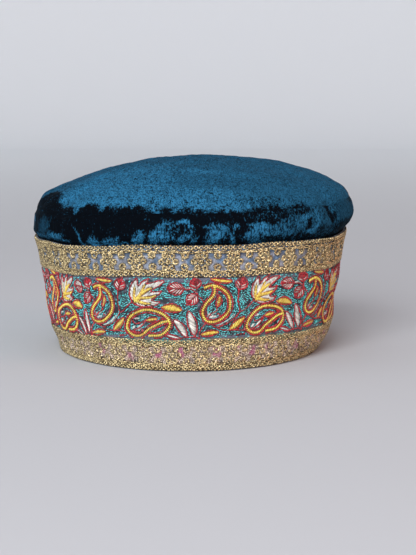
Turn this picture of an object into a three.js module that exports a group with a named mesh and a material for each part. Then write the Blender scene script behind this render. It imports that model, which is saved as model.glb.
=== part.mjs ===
// Kashmiri velvet cap: a soft pillbox cap with a domed velvet crown, an embroidered ribbon round
// its wall and a gold lace along each edge of the ribbon. Millimetres, +Z up. The front faces -Y
// and the rim lies on z = 0, under the middle of the cap.
//
// Each piece is a closed profile turned into a round cap of NOMINAL_RADIUS, which is then fitted
// to the oval of the head: the rings below say how wide, long, shifted and tilted it is at each
// height. Every layer goes through the same fitting, so the layers follow one another.
import * as THREE from 'three';
import { mergeVertices } from 'three/addons/utils/BufferGeometryUtils.js';

// Driving dimensions
const SEGMENTS = 72; // faces round the cap
const NOMINAL_RADIUS = 90; // outside of the velvet wall before it is fitted to the head
const VELVET = 2; // velvet with its backing
const RIBBON = 1; // embroidered ribbon
const LACE_FACE = 2.6; // outer face of a lace, out from the velvet wall
const LAYER_GAP = 0.3; // between one layer and the next
const TUCK = 3; // how far the ribbon runs on under each lace
const LACE_HEM = 0.5; // the lower lace ends this far above the rim
const LOWER_LACE_MIDDLE = 9;
const LOWER_SEAM = 18.4; // where the lower lace meets the ribbon
const BAND_LOW = 30; // two heights across the ribbon, where the wall changes its slope
const BAND_HIGH = 41;
const UPPER_SEAM = 52.8; // where the ribbon meets the upper lace
const UPPER_LACE_MIDDLE = 62;
const LACE_TOP = 71.3; // where the upper lace meets the bare velvet
const CROWN_SEAM = 88.6; // where the side wall meets the domed top
const CROWN_REACH = 3; // how far the crown seam stands out from the wall below
const CROWN_RISE = 28.2; // of the dome above its seam
const ABOVE_CROWN = 140; // past the top of the dome
const DOME_FLAT = 1.83; // power of the radius in the dome's curve, a larger one is flatter on top
const DOME_ROUND = 1.59; // root of the dome's curve, a larger one is rounder at the seam

// The oval of the velvet wall, from the rim up. The tilt lifts the right side, in degrees.
const RINGS = [
  { height: 0, halfWidth: 76.7, halfLength: 95.4, shift: -3.5, tilt: 0 },
  { height: LOWER_LACE_MIDDLE, halfWidth: 81.3, halfLength: 95.3, shift: -1.2, tilt: 0.72 },
  { height: LOWER_SEAM, halfWidth: 84.7, halfLength: 95.2, shift: -1.3, tilt: 1.17 },
  { height: BAND_LOW, halfWidth: 86.2, halfLength: 95.1, shift: -2.4, tilt: 1.08 },
  { height: BAND_HIGH, halfWidth: 88.2, halfLength: 94.6, shift: -1.5, tilt: 0.96 },
  { height: UPPER_SEAM, halfWidth: 89.8, halfLength: 94.0, shift: -2.0, tilt: 0.8 },
  { height: UPPER_LACE_MIDDLE, halfWidth: 91.2, halfLength: 93.3, shift: -2.0, tilt: 0.91 },
  { height: LACE_TOP, halfWidth: 93.2, halfLength: 92.4, shift: -2.2, tilt: 1.15 },
  { height: 80, halfWidth: 93.0, halfLength: 90.6, shift: 0.0, tilt: 1.5 },
  { height: CROWN_SEAM, halfWidth: 93.0, halfLength: 90.2, shift: -1.2, tilt: 1.97 },
  { height: ABOVE_CROWN, halfWidth: 93.0, halfLength: 90.2, shift: -1.2, tilt: 1.97 },
];

// How far the bare velvet bulges out over the upper lace, from the lace up to the crown seam.
const BULGE = [
  { height: 72.2, out: 0.2 },
  { height: 75.6, out: 3.2 },
  { height: 80, out: 4.8 },
  { height: 84.6, out: 4.5 },
];

// Gentle waves of the trims, up and down, as whole waves round the cap. On the dome they die out
// towards the middle, from this share of its radius.
const WAVE_REACH = 0.6;
const WAVES = [
  { count: 3, size: 0.6, phase: 40 },
  { count: 7, size: 0.4, phase: 115 },
];

// Folds and hollows pressed into the velvet: the place as degrees round from +X and a height,
// the spread either way in degrees and millimetres, and the depth. A depth below 0 is a puff.
const FOLDS = [
  { around: -33, height: 87, spread: 4, tall: 9, depth: 2.2 },
  { around: -146, height: 94, spread: 5, tall: 8, depth: 2.6 },
  { around: -104, height: 84, spread: 9, tall: 6, depth: 1.2 },
  { around: -72, height: 86, spread: 6, tall: 7, depth: 1.0 },
  { around: 25, height: 88, spread: 6, tall: 8, depth: 1.8 },
  { around: 78, height: 86, spread: 7, tall: 7, depth: 1.5 },
  { around: 132, height: 90, spread: 6, tall: 8, depth: 2.0 },
  { around: 180, height: 84, spread: 25, tall: 4.5, depth: 1.1 },
  { around: 180, height: 94.5, spread: 20, tall: 4.5, depth: -2.4 },
];
const FOLD_CENTRE = new THREE.Vector3(0, 0, 60); // the folds are pressed in towards this point

// One row of a table at a height between two of its rows.
function rowAt(table, height) {
  let upper = table.findIndex((row) => row.height >= height);
  if (upper === -1) upper = table.length - 1;
  if (upper === 0) upper = 1;
  const low = table[upper - 1];
  const high = table[upper];
  const share = (height - low.height) / (high.height - low.height);
  const row = {};
  for (const column of Object.keys(low)) row[column] = low[column] + share * (high[column] - low[column]);
  return row;
}

// The lift of the waves at a height. They fade out towards the rim, which lies flat.
function waveLift(around, height) {
  const fade = Math.min(1, Math.max(0, height / LOWER_SEAM));
  let lift = 0;
  for (const { count, size, phase } of WAVES) {
    lift += size * Math.sin(count * around + THREE.MathUtils.degToRad(phase));
  }
  return lift * fade;
}

// Fits the round cap to the oval, tilted rings of the head.
function fitToHead(point) {
  const ring = rowAt(RINGS, point.z);
  const around = Math.atan2(point.y, point.x);
  const lift = waveLift(around, point.z);
  point.x *= ring.halfWidth / NOMINAL_RADIUS;
  point.y *= ring.halfLength / NOMINAL_RADIUS;
  const towardsWall = Math.min(1, Math.hypot(point.x, point.y) / (WAVE_REACH * ring.halfWidth));
  point.z += Math.tan(THREE.MathUtils.degToRad(ring.tilt)) * point.x + lift * towardsWall;
  point.x += ring.shift;
}

// Presses the folds into the velvet above the upper lace.
function pressFolds(point) {
  const around = THREE.MathUtils.radToDeg(Math.atan2(point.y, point.x));
  let depth = 0;
  for (const fold of FOLDS) {
    const turn = THREE.MathUtils.euclideanModulo(around - fold.around + 180, 360) - 180;
    const side = turn / fold.spread;
    const rise = (point.z - fold.height) / fold.tall;
    depth += fold.depth * Math.exp(-side * side - rise * rise);
  }
  const inwards = FOLD_CENTRE.clone().sub(point).normalize();
  point.addScaledVector(inwards, depth);
}

// A closed ring or dome: the profile of [radius, height] turned round +Z and then shaped.
function turned(profile, ...shapers) {
  const outline = profile.map(([radius, height]) => new THREE.Vector2(radius, height));
  let geometry = new THREE.LatheGeometry(outline, SEGMENTS);
  geometry.rotateX(Math.PI / 2);
  geometry.deleteAttribute('normal');
  geometry.deleteAttribute('uv');
  geometry = mergeVertices(geometry, 1e-3);
  const places = geometry.attributes.position;
  const point = new THREE.Vector3();
  for (let i = 0; i < places.count; i += 1) {
    point.fromBufferAttribute(places, i);
    for (const shape of shapers) shape(point);
    places.setXYZ(i, point.x, point.y, point.z);
  }
  geometry.computeVertexNormals();
  return geometry;
}

// A profile of [outwards, height] pairs, out from the velvet wall, as radii. It closes on itself.
function wallProfile(pairs) {
  const profile = pairs.map(([outwards, height]) => [NOMINAL_RADIUS + outwards, height]);
  return [...profile, profile[0]];
}

// The dome's height over its seam at a share of its radius.
function domeHeight(share, rise) {
  return rise * (1 - share ** DOME_FLAT) ** (1 / DOME_ROUND);
}

// Domed top of the crown: a velvet sheet, closed at the axis, that ends at the crown seam.
function crownTop() {
  const shares = [0, 0.2, 0.4, 0.58, 0.74, 0.86, 0.94, 0.985];
  const seam = CROWN_SEAM + LAYER_GAP / 2;
  const reach = NOMINAL_RADIUS + CROWN_REACH;
  const sheet = (radius, rise) => [
    ...shares.map((share) => [share * radius, seam + domeHeight(share, rise)]),
    [radius, seam],
  ];
  const outside = sheet(reach, CROWN_RISE);
  const inside = sheet(reach - VELVET, CROWN_RISE - VELVET);
  return turned([...inside, ...outside.reverse()], fitToHead, pressFolds);
}

// Side wall of the crown: a velvet sheet from the rim, behind the trims, up to the crown seam.
function crownSide() {
  const outside = [
    [0, 0],
    [0, LOWER_LACE_MIDDLE],
    [0, LOWER_SEAM],
    [0, BAND_LOW],
    [0, BAND_HIGH],
    [0, UPPER_SEAM],
    [0, UPPER_LACE_MIDDLE],
    [0, LACE_TOP],
    ...BULGE.map(({ height, out }) => [out, height]),
    [CROWN_REACH, CROWN_SEAM - LAYER_GAP / 2],
  ];
  const inside = outside.map(([outwards, height]) => [outwards - VELVET, height]).reverse();
  return turned(wallProfile([...outside, ...inside]), fitToHead, pressFolds);
}

// Embroidered ribbon, which runs on under both laces.
function embroideredBand() {
  const heights = [LOWER_SEAM - TUCK, LOWER_SEAM, BAND_LOW, BAND_HIGH, UPPER_SEAM, UPPER_SEAM + TUCK];
  const outside = heights.map((height) => [LAYER_GAP + RIBBON, height]);
  const inside = heights.map((height) => [LAYER_GAP, height]).reverse();
  return turned(wallProfile([...outside, ...inside]), fitToHead);
}

// Gold lace from its free edge to its edge over the ribbon, stepped behind to lie on the ribbon.
function lace(freeEdge, middle, ribbonEdge) {
  const towardsRibbon = Math.sign(ribbonEdge - freeEdge);
  const onRibbon = LAYER_GAP + RIBBON + LAYER_GAP;
  const step = ribbonEdge - towardsRibbon * (TUCK + LAYER_GAP);
  const pairs = [
    [LACE_FACE, freeEdge],
    [LACE_FACE, middle],
    [LACE_FACE, ribbonEdge],
    [onRibbon, ribbonEdge],
    [onRibbon, step],
    [LAYER_GAP, step],
    [LAYER_GAP, middle],
    [LAYER_GAP, freeEdge],
  ];
  if (towardsRibbon < 0) pairs.reverse();
  return turned(wallProfile(pairs), fitToHead);
}

const velvet = { color: 0x15496b, roughness: 0.75, metalness: 0 };
const embroidery = { color: 0x3f9c96, roughness: 0.6, metalness: 0 };
const goldLace = { color: 0xa98b55, roughness: 0.5, metalness: 0.35 };

const pieces = [
  { name: 'crown_top', geometry: crownTop(), finish: velvet },
  { name: 'crown_side', geometry: crownSide(), finish: velvet },
  { name: 'embroidered_band', geometry: embroideredBand(), finish: embroidery },
  { name: 'upper_lace', geometry: lace(LACE_TOP, UPPER_LACE_MIDDLE, UPPER_SEAM), finish: goldLace },
  { name: 'lower_lace', geometry: lace(LACE_HEM, LOWER_LACE_MIDDLE, LOWER_SEAM), finish: goldLace },
];

const cap = new THREE.Group();
for (const { name, geometry, finish } of pieces) {
  const mesh = new THREE.Mesh(geometry, new THREE.MeshStandardMaterial(finish));
  mesh.name = name;
  cap.add(mesh);
}

export default cap;
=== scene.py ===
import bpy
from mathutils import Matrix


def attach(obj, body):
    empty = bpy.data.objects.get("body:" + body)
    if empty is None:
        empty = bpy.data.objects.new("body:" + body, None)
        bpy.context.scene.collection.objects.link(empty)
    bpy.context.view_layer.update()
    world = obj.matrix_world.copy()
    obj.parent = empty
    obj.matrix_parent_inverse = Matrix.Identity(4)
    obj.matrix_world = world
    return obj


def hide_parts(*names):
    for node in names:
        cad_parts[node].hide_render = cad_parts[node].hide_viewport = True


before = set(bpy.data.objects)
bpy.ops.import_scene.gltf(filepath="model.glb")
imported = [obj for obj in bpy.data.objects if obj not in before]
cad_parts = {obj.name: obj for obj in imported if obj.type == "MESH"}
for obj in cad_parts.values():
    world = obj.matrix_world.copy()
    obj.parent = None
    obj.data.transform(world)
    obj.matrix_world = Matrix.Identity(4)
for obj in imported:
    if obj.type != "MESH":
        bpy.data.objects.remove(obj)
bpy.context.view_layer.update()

import math
from collections import namedtuple
from functools import lru_cache

import bpy
import numpy as np
from bpy.props import FloatProperty, FloatVectorProperty, IntProperty, PointerProperty
from mathutils import Vector
from mathutils.kdtree import KDTree

bl_info = {
    "name": "Kashmiri Velvet Cap",
    "version": (1, 0, 0),
    "blender": (4, 5, 0),
    "location": "View3D > Sidebar > Velvet Cap",
    "description": "Builds the velvet, embroidery and gold lace of a pillbox cap round its solid model",
    "category": "Add Mesh",
}

MM = 0.001  # shapes are worked out in millimetres and made in metres
BODY = "root"


def table(kind, *rows):
    """Rows of values under the names of a kind's columns."""
    return tuple(kind(*row) for row in rows)


def column(rows, name):
    """One named column of a table."""
    return [getattr(row, name) for row in rows]


# ---- Sizes and colours a user would change ----------------------


def length(name, description, default):
    return FloatProperty(name=name, description=description, default=default, min=0.0, unit="LENGTH")


def tint(name, description, default):
    return FloatVectorProperty(
        name=name, description=description, default=default, size=3, min=0.0, max=1.0, subtype="COLOR"
    )


class VelvetCapSizes(bpy.types.PropertyGroup):
    rope_width: length("Rope width", "Width of the yellow satin ropes", 1.8 * MM)
    satin_pitch: length("Satin pitch", "From one satin stitch of a rope to the next", 1.05 * MM)
    leaf_pitch: length("Leaf pitch", "From one satin stitch of a leaf to the next", 0.84 * MM)
    outline_thread: length("Outline thread", "Thickness of the red outline stitches", 1.04 * MM)
    outline_stitch: length("Outline stitch", "Length of one red outline stitch", 1.5 * MM)
    seed_gap: length("Seed gap", "Least distance between the ground's seed stitches", 0.92 * MM)
    seed_stitch: length("Seed stitch", "Length of one seed stitch", 1.5 * MM)
    lace_thread: length("Lace thread", "Thickness of the gold lace thread", 1.04 * MM)
    crush_depth: length("Crush depth", "Depth of the velvet's crushed relief", 0.45 * MM)
    rosettes: IntProperty(
        name="Rosettes", description="Rosettes round each lace", default=33, min=8, max=60
    )


class VelvetCapColours(bpy.types.PropertyGroup):
    # The velvet's colours carry its painted sheen and shade. Deep is painted shade, near black, where
    # the pile would stand end on to the view. Bright is a painted sheen where the pile lies over. Mid
    # lies between them.
    velvet_deep: tint("Velvet, deep", "Pile seen end on", (0.0011, 0.0021, 0.0040))
    velvet_mid: tint("Velvet, mid", "Pile seen at a slant", (0.009, 0.055, 0.105))
    velvet_bright: tint("Velvet, bright", "Pile lying over", (0.0145, 0.088, 0.17))
    backing: tint("Backing", "Cloth on the inside of the cap", (0.02, 0.035, 0.06))
    ribbon: tint("Ribbon ground", "Cloth under the embroidery", (0.014, 0.018, 0.03))
    teal: tint("Teal thread", "Seed stitches of the ground", (0.085, 0.50, 0.51))
    red: tint("Red thread", "Outlines and buds", (0.45, 0.007, 0.020))
    yellow: tint("Yellow thread", "Satin ropes and leaves, in full light", (0.80, 0.65, 0.11))
    # Amber is the yellow thread's own darker stitches, and also its painted shade in the hollows of
    # ropes and leaves.
    amber: tint("Amber thread", "Satin ropes and leaves, in their hollows", (0.48, 0.17, 0.006))
    white: tint("White thread", "Leaves and petals", (0.63, 0.61, 0.56))
    gold: tint("Gold thread", "Metallic thread of the laces, where it shines", (0.83, 0.665, 0.365))
    # Bronze is the gold thread's own darker stitches, and also its painted shade in its hollows.
    bronze: tint("Bronze thread", "Metallic thread of the laces, in its hollows", (0.06, 0.033, 0.010))
    rose: tint("Rose thread", "Fine thread that fills the lower lace", (0.72, 0.57, 0.46))
    upper_net: tint("Upper net", "Net under the upper lace", (0.235, 0.25, 0.30))
    lower_net: tint("Lower net", "Net under the lower lace", (0.30, 0.21, 0.16))
    stain: tint("Dyed patches", "Patches in the gaps of the lower lace", (0.36, 0.08, 0.17))


# ---- The shape of the cap, in millimetres -----------------------

LOWER_SEAM = 18.4  # height where the lower lace meets the ribbon
UPPER_SEAM = 52.8  # where the ribbon meets the upper lace
LACE_TOP = 71.3  # where the upper lace meets the bare velvet
CROWN_SEAM = 88.6  # where the side wall meets the domed top
CROWN_REACH = 3.0  # how far the crown seam stands out from the wall below
CROWN_RISE = 28.2  # of the dome above its seam
DOME_FLAT, DOME_ROUND = 1.83, 1.59  # powers of the dome's curve
DOME_CALM = 0.6  # share of its radius inside which the trims' waves die away
VELVET = 2.0  # thickness of the velvet and its backing
RIBBON_BACK, RIBBON_FACE = 0.3, 1.3  # out from the velvet wall
NET_BACK, NET_FACE = 1.62, 1.85
TUCK = 3.0  # how far the ribbon runs on under each lace

# The oval of the velvet wall, from the rim up. The tilt lifts the right side, in degrees.
Ring = namedtuple("Ring", "height half_width half_length shift tilt")
RINGS = table(
    Ring,
    (0.0, 76.7, 95.4, -3.5, 0.0),
    (9.0, 81.3, 95.3, -1.2, 0.72),
    (LOWER_SEAM, 84.7, 95.2, -1.3, 1.17),
    (30.0, 86.2, 95.1, -2.4, 1.08),
    (41.0, 88.2, 94.6, -1.5, 0.96),
    (UPPER_SEAM, 89.8, 94.0, -2.0, 0.8),
    (62.0, 91.2, 93.3, -2.0, 0.91),
    (LACE_TOP, 93.2, 92.4, -2.2, 1.15),
    (80.0, 93.0, 90.6, 0.0, 1.5),
    (CROWN_SEAM, 93.0, 90.2, -1.2, 1.97),
    (140.0, 93.0, 90.2, -1.2, 1.97),
)

# How far the bare velvet bulges out over the upper lace, up to the crown seam.
Bulge = namedtuple("Bulge", "height out")
BULGE = table(
    Bulge,
    (LACE_TOP, 0.2),
    (72.4, 1.7),
    (75.6, 3.9),
    (80.0, 4.9),
    (84.6, 4.5),
    (87.3, 3.6),
    (CROWN_SEAM, CROWN_REACH),
)

# Gentle waves of the trims, up and down, as whole waves round the cap.
Wave = namedtuple("Wave", "count size phase")
WAVES = (Wave(3, 0.6, 40), Wave(7, 0.4, 115), Wave(16, 0.18, 10))

# Folds and hollows pressed into the velvet: degrees round from +X, height, how far they spread
# round and up, and depth. A depth below 0 is a puff.
Fold = namedtuple("Fold", "around height spread tall depth")
FOLDS = table(
    Fold,
    (-33, 87, 4, 9, 2.2),
    (-146, 94, 5, 8, 2.6),
    (-104, 84, 9, 6, 1.2),
    (-72, 86, 6, 7, 1.0),
    (25, 88, 6, 8, 1.8),
    (78, 86, 7, 7, 1.5),
    (132, 90, 6, 8, 2.0),
    (180, 84, 25, 4.5, 1.1),
    (180, 94.5, 20, 4.5, -2.4),
    (-170, 101, 10, 5, 1.4),
    (-10, 104, 9, 5, 1.3),
)
FOLD_CENTRE = np.array([0.0, 0.0, 60.0])  # the folds are pressed in towards this point


def glide(x, xs, ys):
    """A smooth curve through the points (xs, ys) that never overshoots them, read at x."""
    xs, ys = np.asarray(xs, float), np.asarray(ys, float)
    slope = np.diff(ys) / np.diff(xs)
    steep = np.concatenate([slope[:1], np.zeros(len(xs) - 2), slope[-1:]])
    before, after = slope[:-1], slope[1:]
    same_way = before * after > 0
    steep[1:-1][same_way] = (2 * before * after / np.where(same_way, before + after, 1))[same_way]
    i = np.clip(np.searchsorted(xs, x) - 1, 0, len(xs) - 2)
    step = xs[i + 1] - xs[i]
    t = np.clip((x - xs[i]) / step, 0, 1)
    start, end = 2 * t**3 - 3 * t**2 + 1, 3 * t**2 - 2 * t**3
    return (
        start * ys[i]
        + end * ys[i + 1]
        + step * ((t**3 - 2 * t**2 + t) * steep[i] + (t**3 - t**2) * steep[i + 1])
    )


def ring_at(height):
    """Half width, half length, shift and tilt of the oval at each height."""
    heights = column(RINGS, "height")
    return [glide(height, heights, column(RINGS, name)) for name in Ring._fields[1:]]


# The way round is measured in millimetres along the ribbon, from the middle of the front
# towards +X, and turned into the oval's angle with this table.
RIBBON_OVAL = (89.5, 96.0)  # half width and half length where the ribbon is measured
TURNS = np.linspace(-np.pi, np.pi, 3601)
SPEEDS = np.hypot(RIBBON_OVAL[0] * np.cos(TURNS), RIBBON_OVAL[1] * np.sin(TURNS))
ALONG = np.concatenate([[0], np.cumsum((SPEEDS[1:] + SPEEDS[:-1]) / 2 * np.diff(TURNS))])
ALONG -= ALONG[len(ALONG) // 2]
ROUND = ALONG[-1] - ALONG[0]  # length of the ribbon once round


def wrap(s, period=ROUND):
    """The same place, within half a period of the front."""
    return (np.asarray(s, float) + period / 2) % period - period / 2


def turn_of(s):
    """The oval's angle, from the front, at s along the ribbon."""
    return np.interp(wrap(s), ALONG, TURNS)


def wave_lift(around, height):
    """How far the waves lift a place, at an angle round from +X: not at all at the rim."""
    lift = sum(w.size * np.sin(w.count * around + math.radians(w.phase)) for w in WAVES)
    return lift * np.clip(height / LOWER_SEAM, 0, 1)


def wall(s, height, out_from_wall):
    """Points out from the velvet wall, at s along the ribbon and a height over the rim."""
    places = (np.asarray(v, float) for v in (s, height, out_from_wall))
    s, height, far = np.broadcast_arrays(*places)
    turn = turn_of(s)
    a, b, shift, tilt = ring_at(height)
    across, along = np.sin(turn) / a, -np.cos(turn) / b
    size = np.hypot(across, along)
    x = a * np.sin(turn) + far * across / size
    y = -b * np.cos(turn) + far * along / size
    z = height + np.tan(np.radians(tilt)) * x + wave_lift(np.arctan2(y, x), height)
    return np.stack([x + shift, y, z], -1)


def unit(vectors):
    """The same vectors, made one long."""
    return vectors / np.maximum(np.linalg.norm(vectors, axis=-1, keepdims=True), 1e-9)


def wall_axes(s, height, out_from_wall):
    """Vectors along the ribbon, up it and out of it, for each place on the wall."""
    step = 0.5
    along = wall(s + step, height, out_from_wall) - wall(s - step, height, out_from_wall)
    up = wall(s, height + step, out_from_wall) - wall(s, height - step, out_from_wall)
    return unit(along), unit(up), unit(np.cross(along, up))


def dome(turn, share, thickness=0.0):
    """Points of the crown's top at a turn from the front and a share of its radius."""
    ring = RINGS[-1]
    reach = 1 + (CROWN_REACH - thickness) / ring.half_width
    x = share * reach * ring.half_width * np.sin(turn)
    y = -share * reach * ring.half_length * np.cos(turn)
    rise = (CROWN_RISE - thickness) * np.clip(1 - share**DOME_FLAT, 0, 1) ** (1 / DOME_ROUND)
    z = CROWN_SEAM + rise + math.tan(math.radians(ring.tilt)) * x
    z = z + wave_lift(np.arctan2(y, x), CROWN_SEAM) * np.clip(share / DOME_CALM, 0, 1)
    return np.stack([x + ring.shift, y, z], -1)


def press_folds(points):
    """Presses the folds into the velvet."""
    around = np.degrees(np.arctan2(points[..., 1], points[..., 0]))
    depth = np.zeros(points.shape[:-1])
    for fold in FOLDS:
        side = wrap(around - fold.around, 360) / fold.spread
        rise = (points[..., 2] - fold.height) / fold.tall
        depth += fold.depth * np.exp(-(side**2) - rise**2)
    return points + unit(FOLD_CENTRE - points) * depth[..., None]


# Large odd numbers that mix a place and a seed into a number that looks random.
MIX_X, MIX_Y, MIX_Z, MIX_SEED, MIX_AGAIN = 73856093, 19349663, 83492791, 2654435761, 1274126177


def lumps(points, size, seed):
    """Smooth noise from -1 to 1 with lumps of a size, the same each time."""
    place = points / size
    cell = np.floor(place).astype(np.int64)
    part = place - cell
    part = part * part * (3 - 2 * part)
    total = np.zeros(points.shape[:-1])
    for corner in np.ndindex(2, 2, 2):
        x, y, z = np.moveaxis(cell + corner, -1, 0)
        mixed = (x * MIX_X) ^ (y * MIX_Y) ^ (z * MIX_Z) ^ (seed * MIX_SEED)
        mixed = (mixed ^ (mixed >> 13)) * MIX_AGAIN & 0x7FFFFFFF
        value = ((mixed ^ (mixed >> 16)) & 0xFFFF) / 32767.5 - 1
        total += np.prod(np.where(corner, part, 1 - part), axis=-1) * value
    return total


def lumps_at(s, height, size, seed):
    """The same noise on the flat cloth."""
    s, height = np.broadcast_arrays(s, height)
    return lumps(np.stack([s, height, np.zeros(s.shape)], -1), size, seed)


def grid_normals(grid):
    """Outward unit vectors of a grid of points whose columns run once round the cap."""
    along = np.roll(grid, -1, axis=1) - np.roll(grid, 1, axis=1)
    return unit(np.cross(along, np.gradient(grid, axis=0)))


# ---- Making meshes ----------------------------------------------


def columns_round(count):
    """Places along the ribbon for a grid's columns."""
    return np.linspace(-ROUND / 2, ROUND / 2, count, endpoint=False)


def add_object(name, data):
    """An object in the scene for a mesh, a light or a camera."""
    made = bpy.data.objects.new(name, data)
    bpy.context.scene.collection.objects.link(made)
    return made


def woven(name, grid, s_of_column, poles=False):
    """A closed mesh from rows of points that run once round the cap. The rows close on one
    another, or with poles the first and the last row each close on a point. Its UV map holds the
    way round and the way along the rows, in metres."""
    rows, columns = grid.shape[:2]
    points = grid.reshape(-1, 3)
    row, col = np.meshgrid(np.arange(rows - 1 if poles else rows), np.arange(columns), indexing="ij")
    above, right = (row + 1) % rows, (col + 1) % columns
    corners = ((row, col), (row, right), (above, right), (above, col))
    faces = np.stack([r * columns + c for r, c in corners], -1).reshape(-1, 4).tolist()
    strides = np.linalg.norm(np.roll(grid, -1, axis=0) - grid, axis=-1).mean(1)
    reach = np.concatenate([[0], np.cumsum(strides)])
    step = s_of_column[1] - s_of_column[0]
    left, low, high = s_of_column[col], reach[row], reach[row + 1]
    uv = np.stack([left, low, left + step, low, left + step, high, left, high], -1).reshape(-1, 2)
    if poles:
        bottom, top = len(points), len(points) + 1
        points = np.concatenate([points, [grid[0].mean(0), grid[-1].mean(0)]])
        ring = np.arange(columns)
        beyond, last = (ring + 1) % columns, (rows - 1) * columns
        under = np.stack([ring * 0 + bottom, beyond, ring], -1)
        over = np.stack([last + ring, last + beyond, ring * 0 + top], -1)
        faces += np.concatenate([under, over]).tolist()
        pole_uv = np.zeros((6 * columns, 2))
        pole_uv[3 * columns :, 1] = reach[rows - 1]
        uv = np.concatenate([uv, pole_uv])
    mesh = bpy.data.meshes.new(name)
    mesh.from_pydata((points * MM).tolist(), [], faces)
    mesh.uv_layers.new(name="cloth").data.foreach_set("uv", (uv * MM).ravel())
    mesh.polygons.foreach_set("use_smooth", np.ones(len(faces), bool))
    mesh.update()
    return mesh


def set_values(mesh, name, values):
    """Stores one number, or one vector, for each point of a mesh."""
    vectors = np.ndim(values) == 2
    layer = mesh.attributes.new(name, "FLOAT_VECTOR" if vectors else "FLOAT", "POINT")
    layer.data.foreach_set("vector" if vectors else "value", np.ravel(values).astype(np.float32))


def line_mesh(name, lines, out_from_wall):
    """Drawn lines as a mesh of edges on the wall. Each is its points, as s and height, and
    whether it closes on itself."""
    places, edges = [], []
    for points, closed in lines:
        first, count = len(places), len(points)
        places.extend(points)
        edges += [(first + i, first + i + 1) for i in range(count - 1)]
        if closed:
            edges.append((first + count - 1, first))
    s, height = np.array(places, float).T
    mesh = bpy.data.meshes.new(name)
    mesh.from_pydata((wall(s, height, out_from_wall) * MM).tolist(), edges, [])
    set_values(mesh, "outward", wall_axes(s, height, out_from_wall)[2])
    return mesh


def laid_mesh(name, stitches, out_from_wall):
    """Points for laid stitches, each given by its two ends as (s, height, s, height)."""
    ends = np.array(stitches, float)
    start, end = (wall(ends[:, k], ends[:, k + 1], out_from_wall) for k in (0, 2))
    middle = (ends[:, :2] + ends[:, 2:]) / 2
    mesh = bpy.data.meshes.new(name)
    mesh.from_pydata(((start + end) / 2 * MM).tolist(), [], [])
    set_values(mesh, "outward", wall_axes(middle[:, 0], middle[:, 1], out_from_wall)[2])
    set_values(mesh, "run", (end - start) * MM)
    return mesh


def settle(piece, slot, *nodes):
    """Ties a finished piece to the frame."""
    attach(piece, BODY)
    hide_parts(*nodes)
    return piece


# ---- Node trees -------------------------------------------------


def socket_of(sockets, name):
    """A node's socket by its index, or the one in use by its name."""
    if isinstance(name, int):
        return sockets[name]
    return next(socket for socket in sockets if socket.name == name and socket.enabled)


def add(tree, kind, inputs=None, **settings):
    """Adds a node with its settings, and gives each named input a value or a link."""
    made = tree.nodes.new(kind)
    for name, value in settings.items():
        setattr(made, name, value)
    for name, value in (inputs or {}).items():
        socket = socket_of(made.inputs, name)
        if isinstance(value, bpy.types.NodeSocket):
            tree.links.new(value, socket)
        else:
            socket.default_value = value
    return made


def out(node, name=None):
    """The output of a node that is in use, by name where it has several."""
    return next(s for s in node.outputs if s.enabled and name in (None, s.name))


def maths(tree, operation, *values):
    """A sum worked out by a maths node."""
    return out(add(tree, "ShaderNodeMath", dict(enumerate(values)), operation=operation))


def vector(tree, **parts):
    """A vector from its parts X, Y and Z."""
    return out(add(tree, "ShaderNodeCombineXYZ", parts))


def vector_maths(tree, operation, values, output=None):
    """A sum worked out by a vector maths node, its values given by their index or name."""
    return out(add(tree, "ShaderNodeVectorMath", values, operation=operation), output)


SOCKETS = {float: "NodeSocketFloat", int: "NodeSocketInt", tuple: "NodeSocketColor"}


def new_tree(name, inputs, kind="GeometryNodeTree"):
    """A node tree with named inputs, each given as its default, or as its type if it has none."""
    tree = bpy.data.node_groups.new(name, kind)
    for label, given in inputs.items():
        socket_type = SOCKETS.get(type(given), given)
        socket = tree.interface.new_socket(label, in_out="INPUT", socket_type=socket_type)
        if socket_type != given:
            socket.default_value = given
    return tree


def made_once(store, name, maker):
    """What a store of Blender data holds by a name, made on first use."""
    return store.get(name) or maker(name)


STITCH_INPUTS = {
    "Geometry": "NodeSocketGeometry",
    "Length": 1.5 * MM,
    "Width": 0.7 * MM,
    "Height": 0.2 * MM,
    "Slant": 0.0,
    "Unevenness": 0.1,
    "Steps": 3,
    "Sides": 4,
    "Seed": 1,
    "Thread": "NodeSocketMaterial",
}
ROCK_SEED = 7.0  # added to the seed, so that a stitch rocks and turns by different amounts


def keep_value(tree, geometry, name, value, domain):
    """Stores a number on a geometry under a name, for its material."""
    values = {"Geometry": geometry, "Name": name, "Value": value}
    kind = "GeometryNodeStoreNamedAttribute"
    return out(add(tree, kind, values, domain=domain, data_type="FLOAT"))


def random_value(tree, low, high, seed):
    """A random number for each stitch."""
    values = {"Min": low, "Max": high, "Seed": seed}
    return out(add(tree, "FunctionNodeRandomValue", values, data_type="FLOAT"))


def named_value(tree, name, data_type="FLOAT_VECTOR"):
    """A value that the cloth holds under a name."""
    found = add(tree, "GeometryNodeInputNamedAttribute", {"Name": name}, data_type=data_type)
    return out(found, "Attribute")


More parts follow.
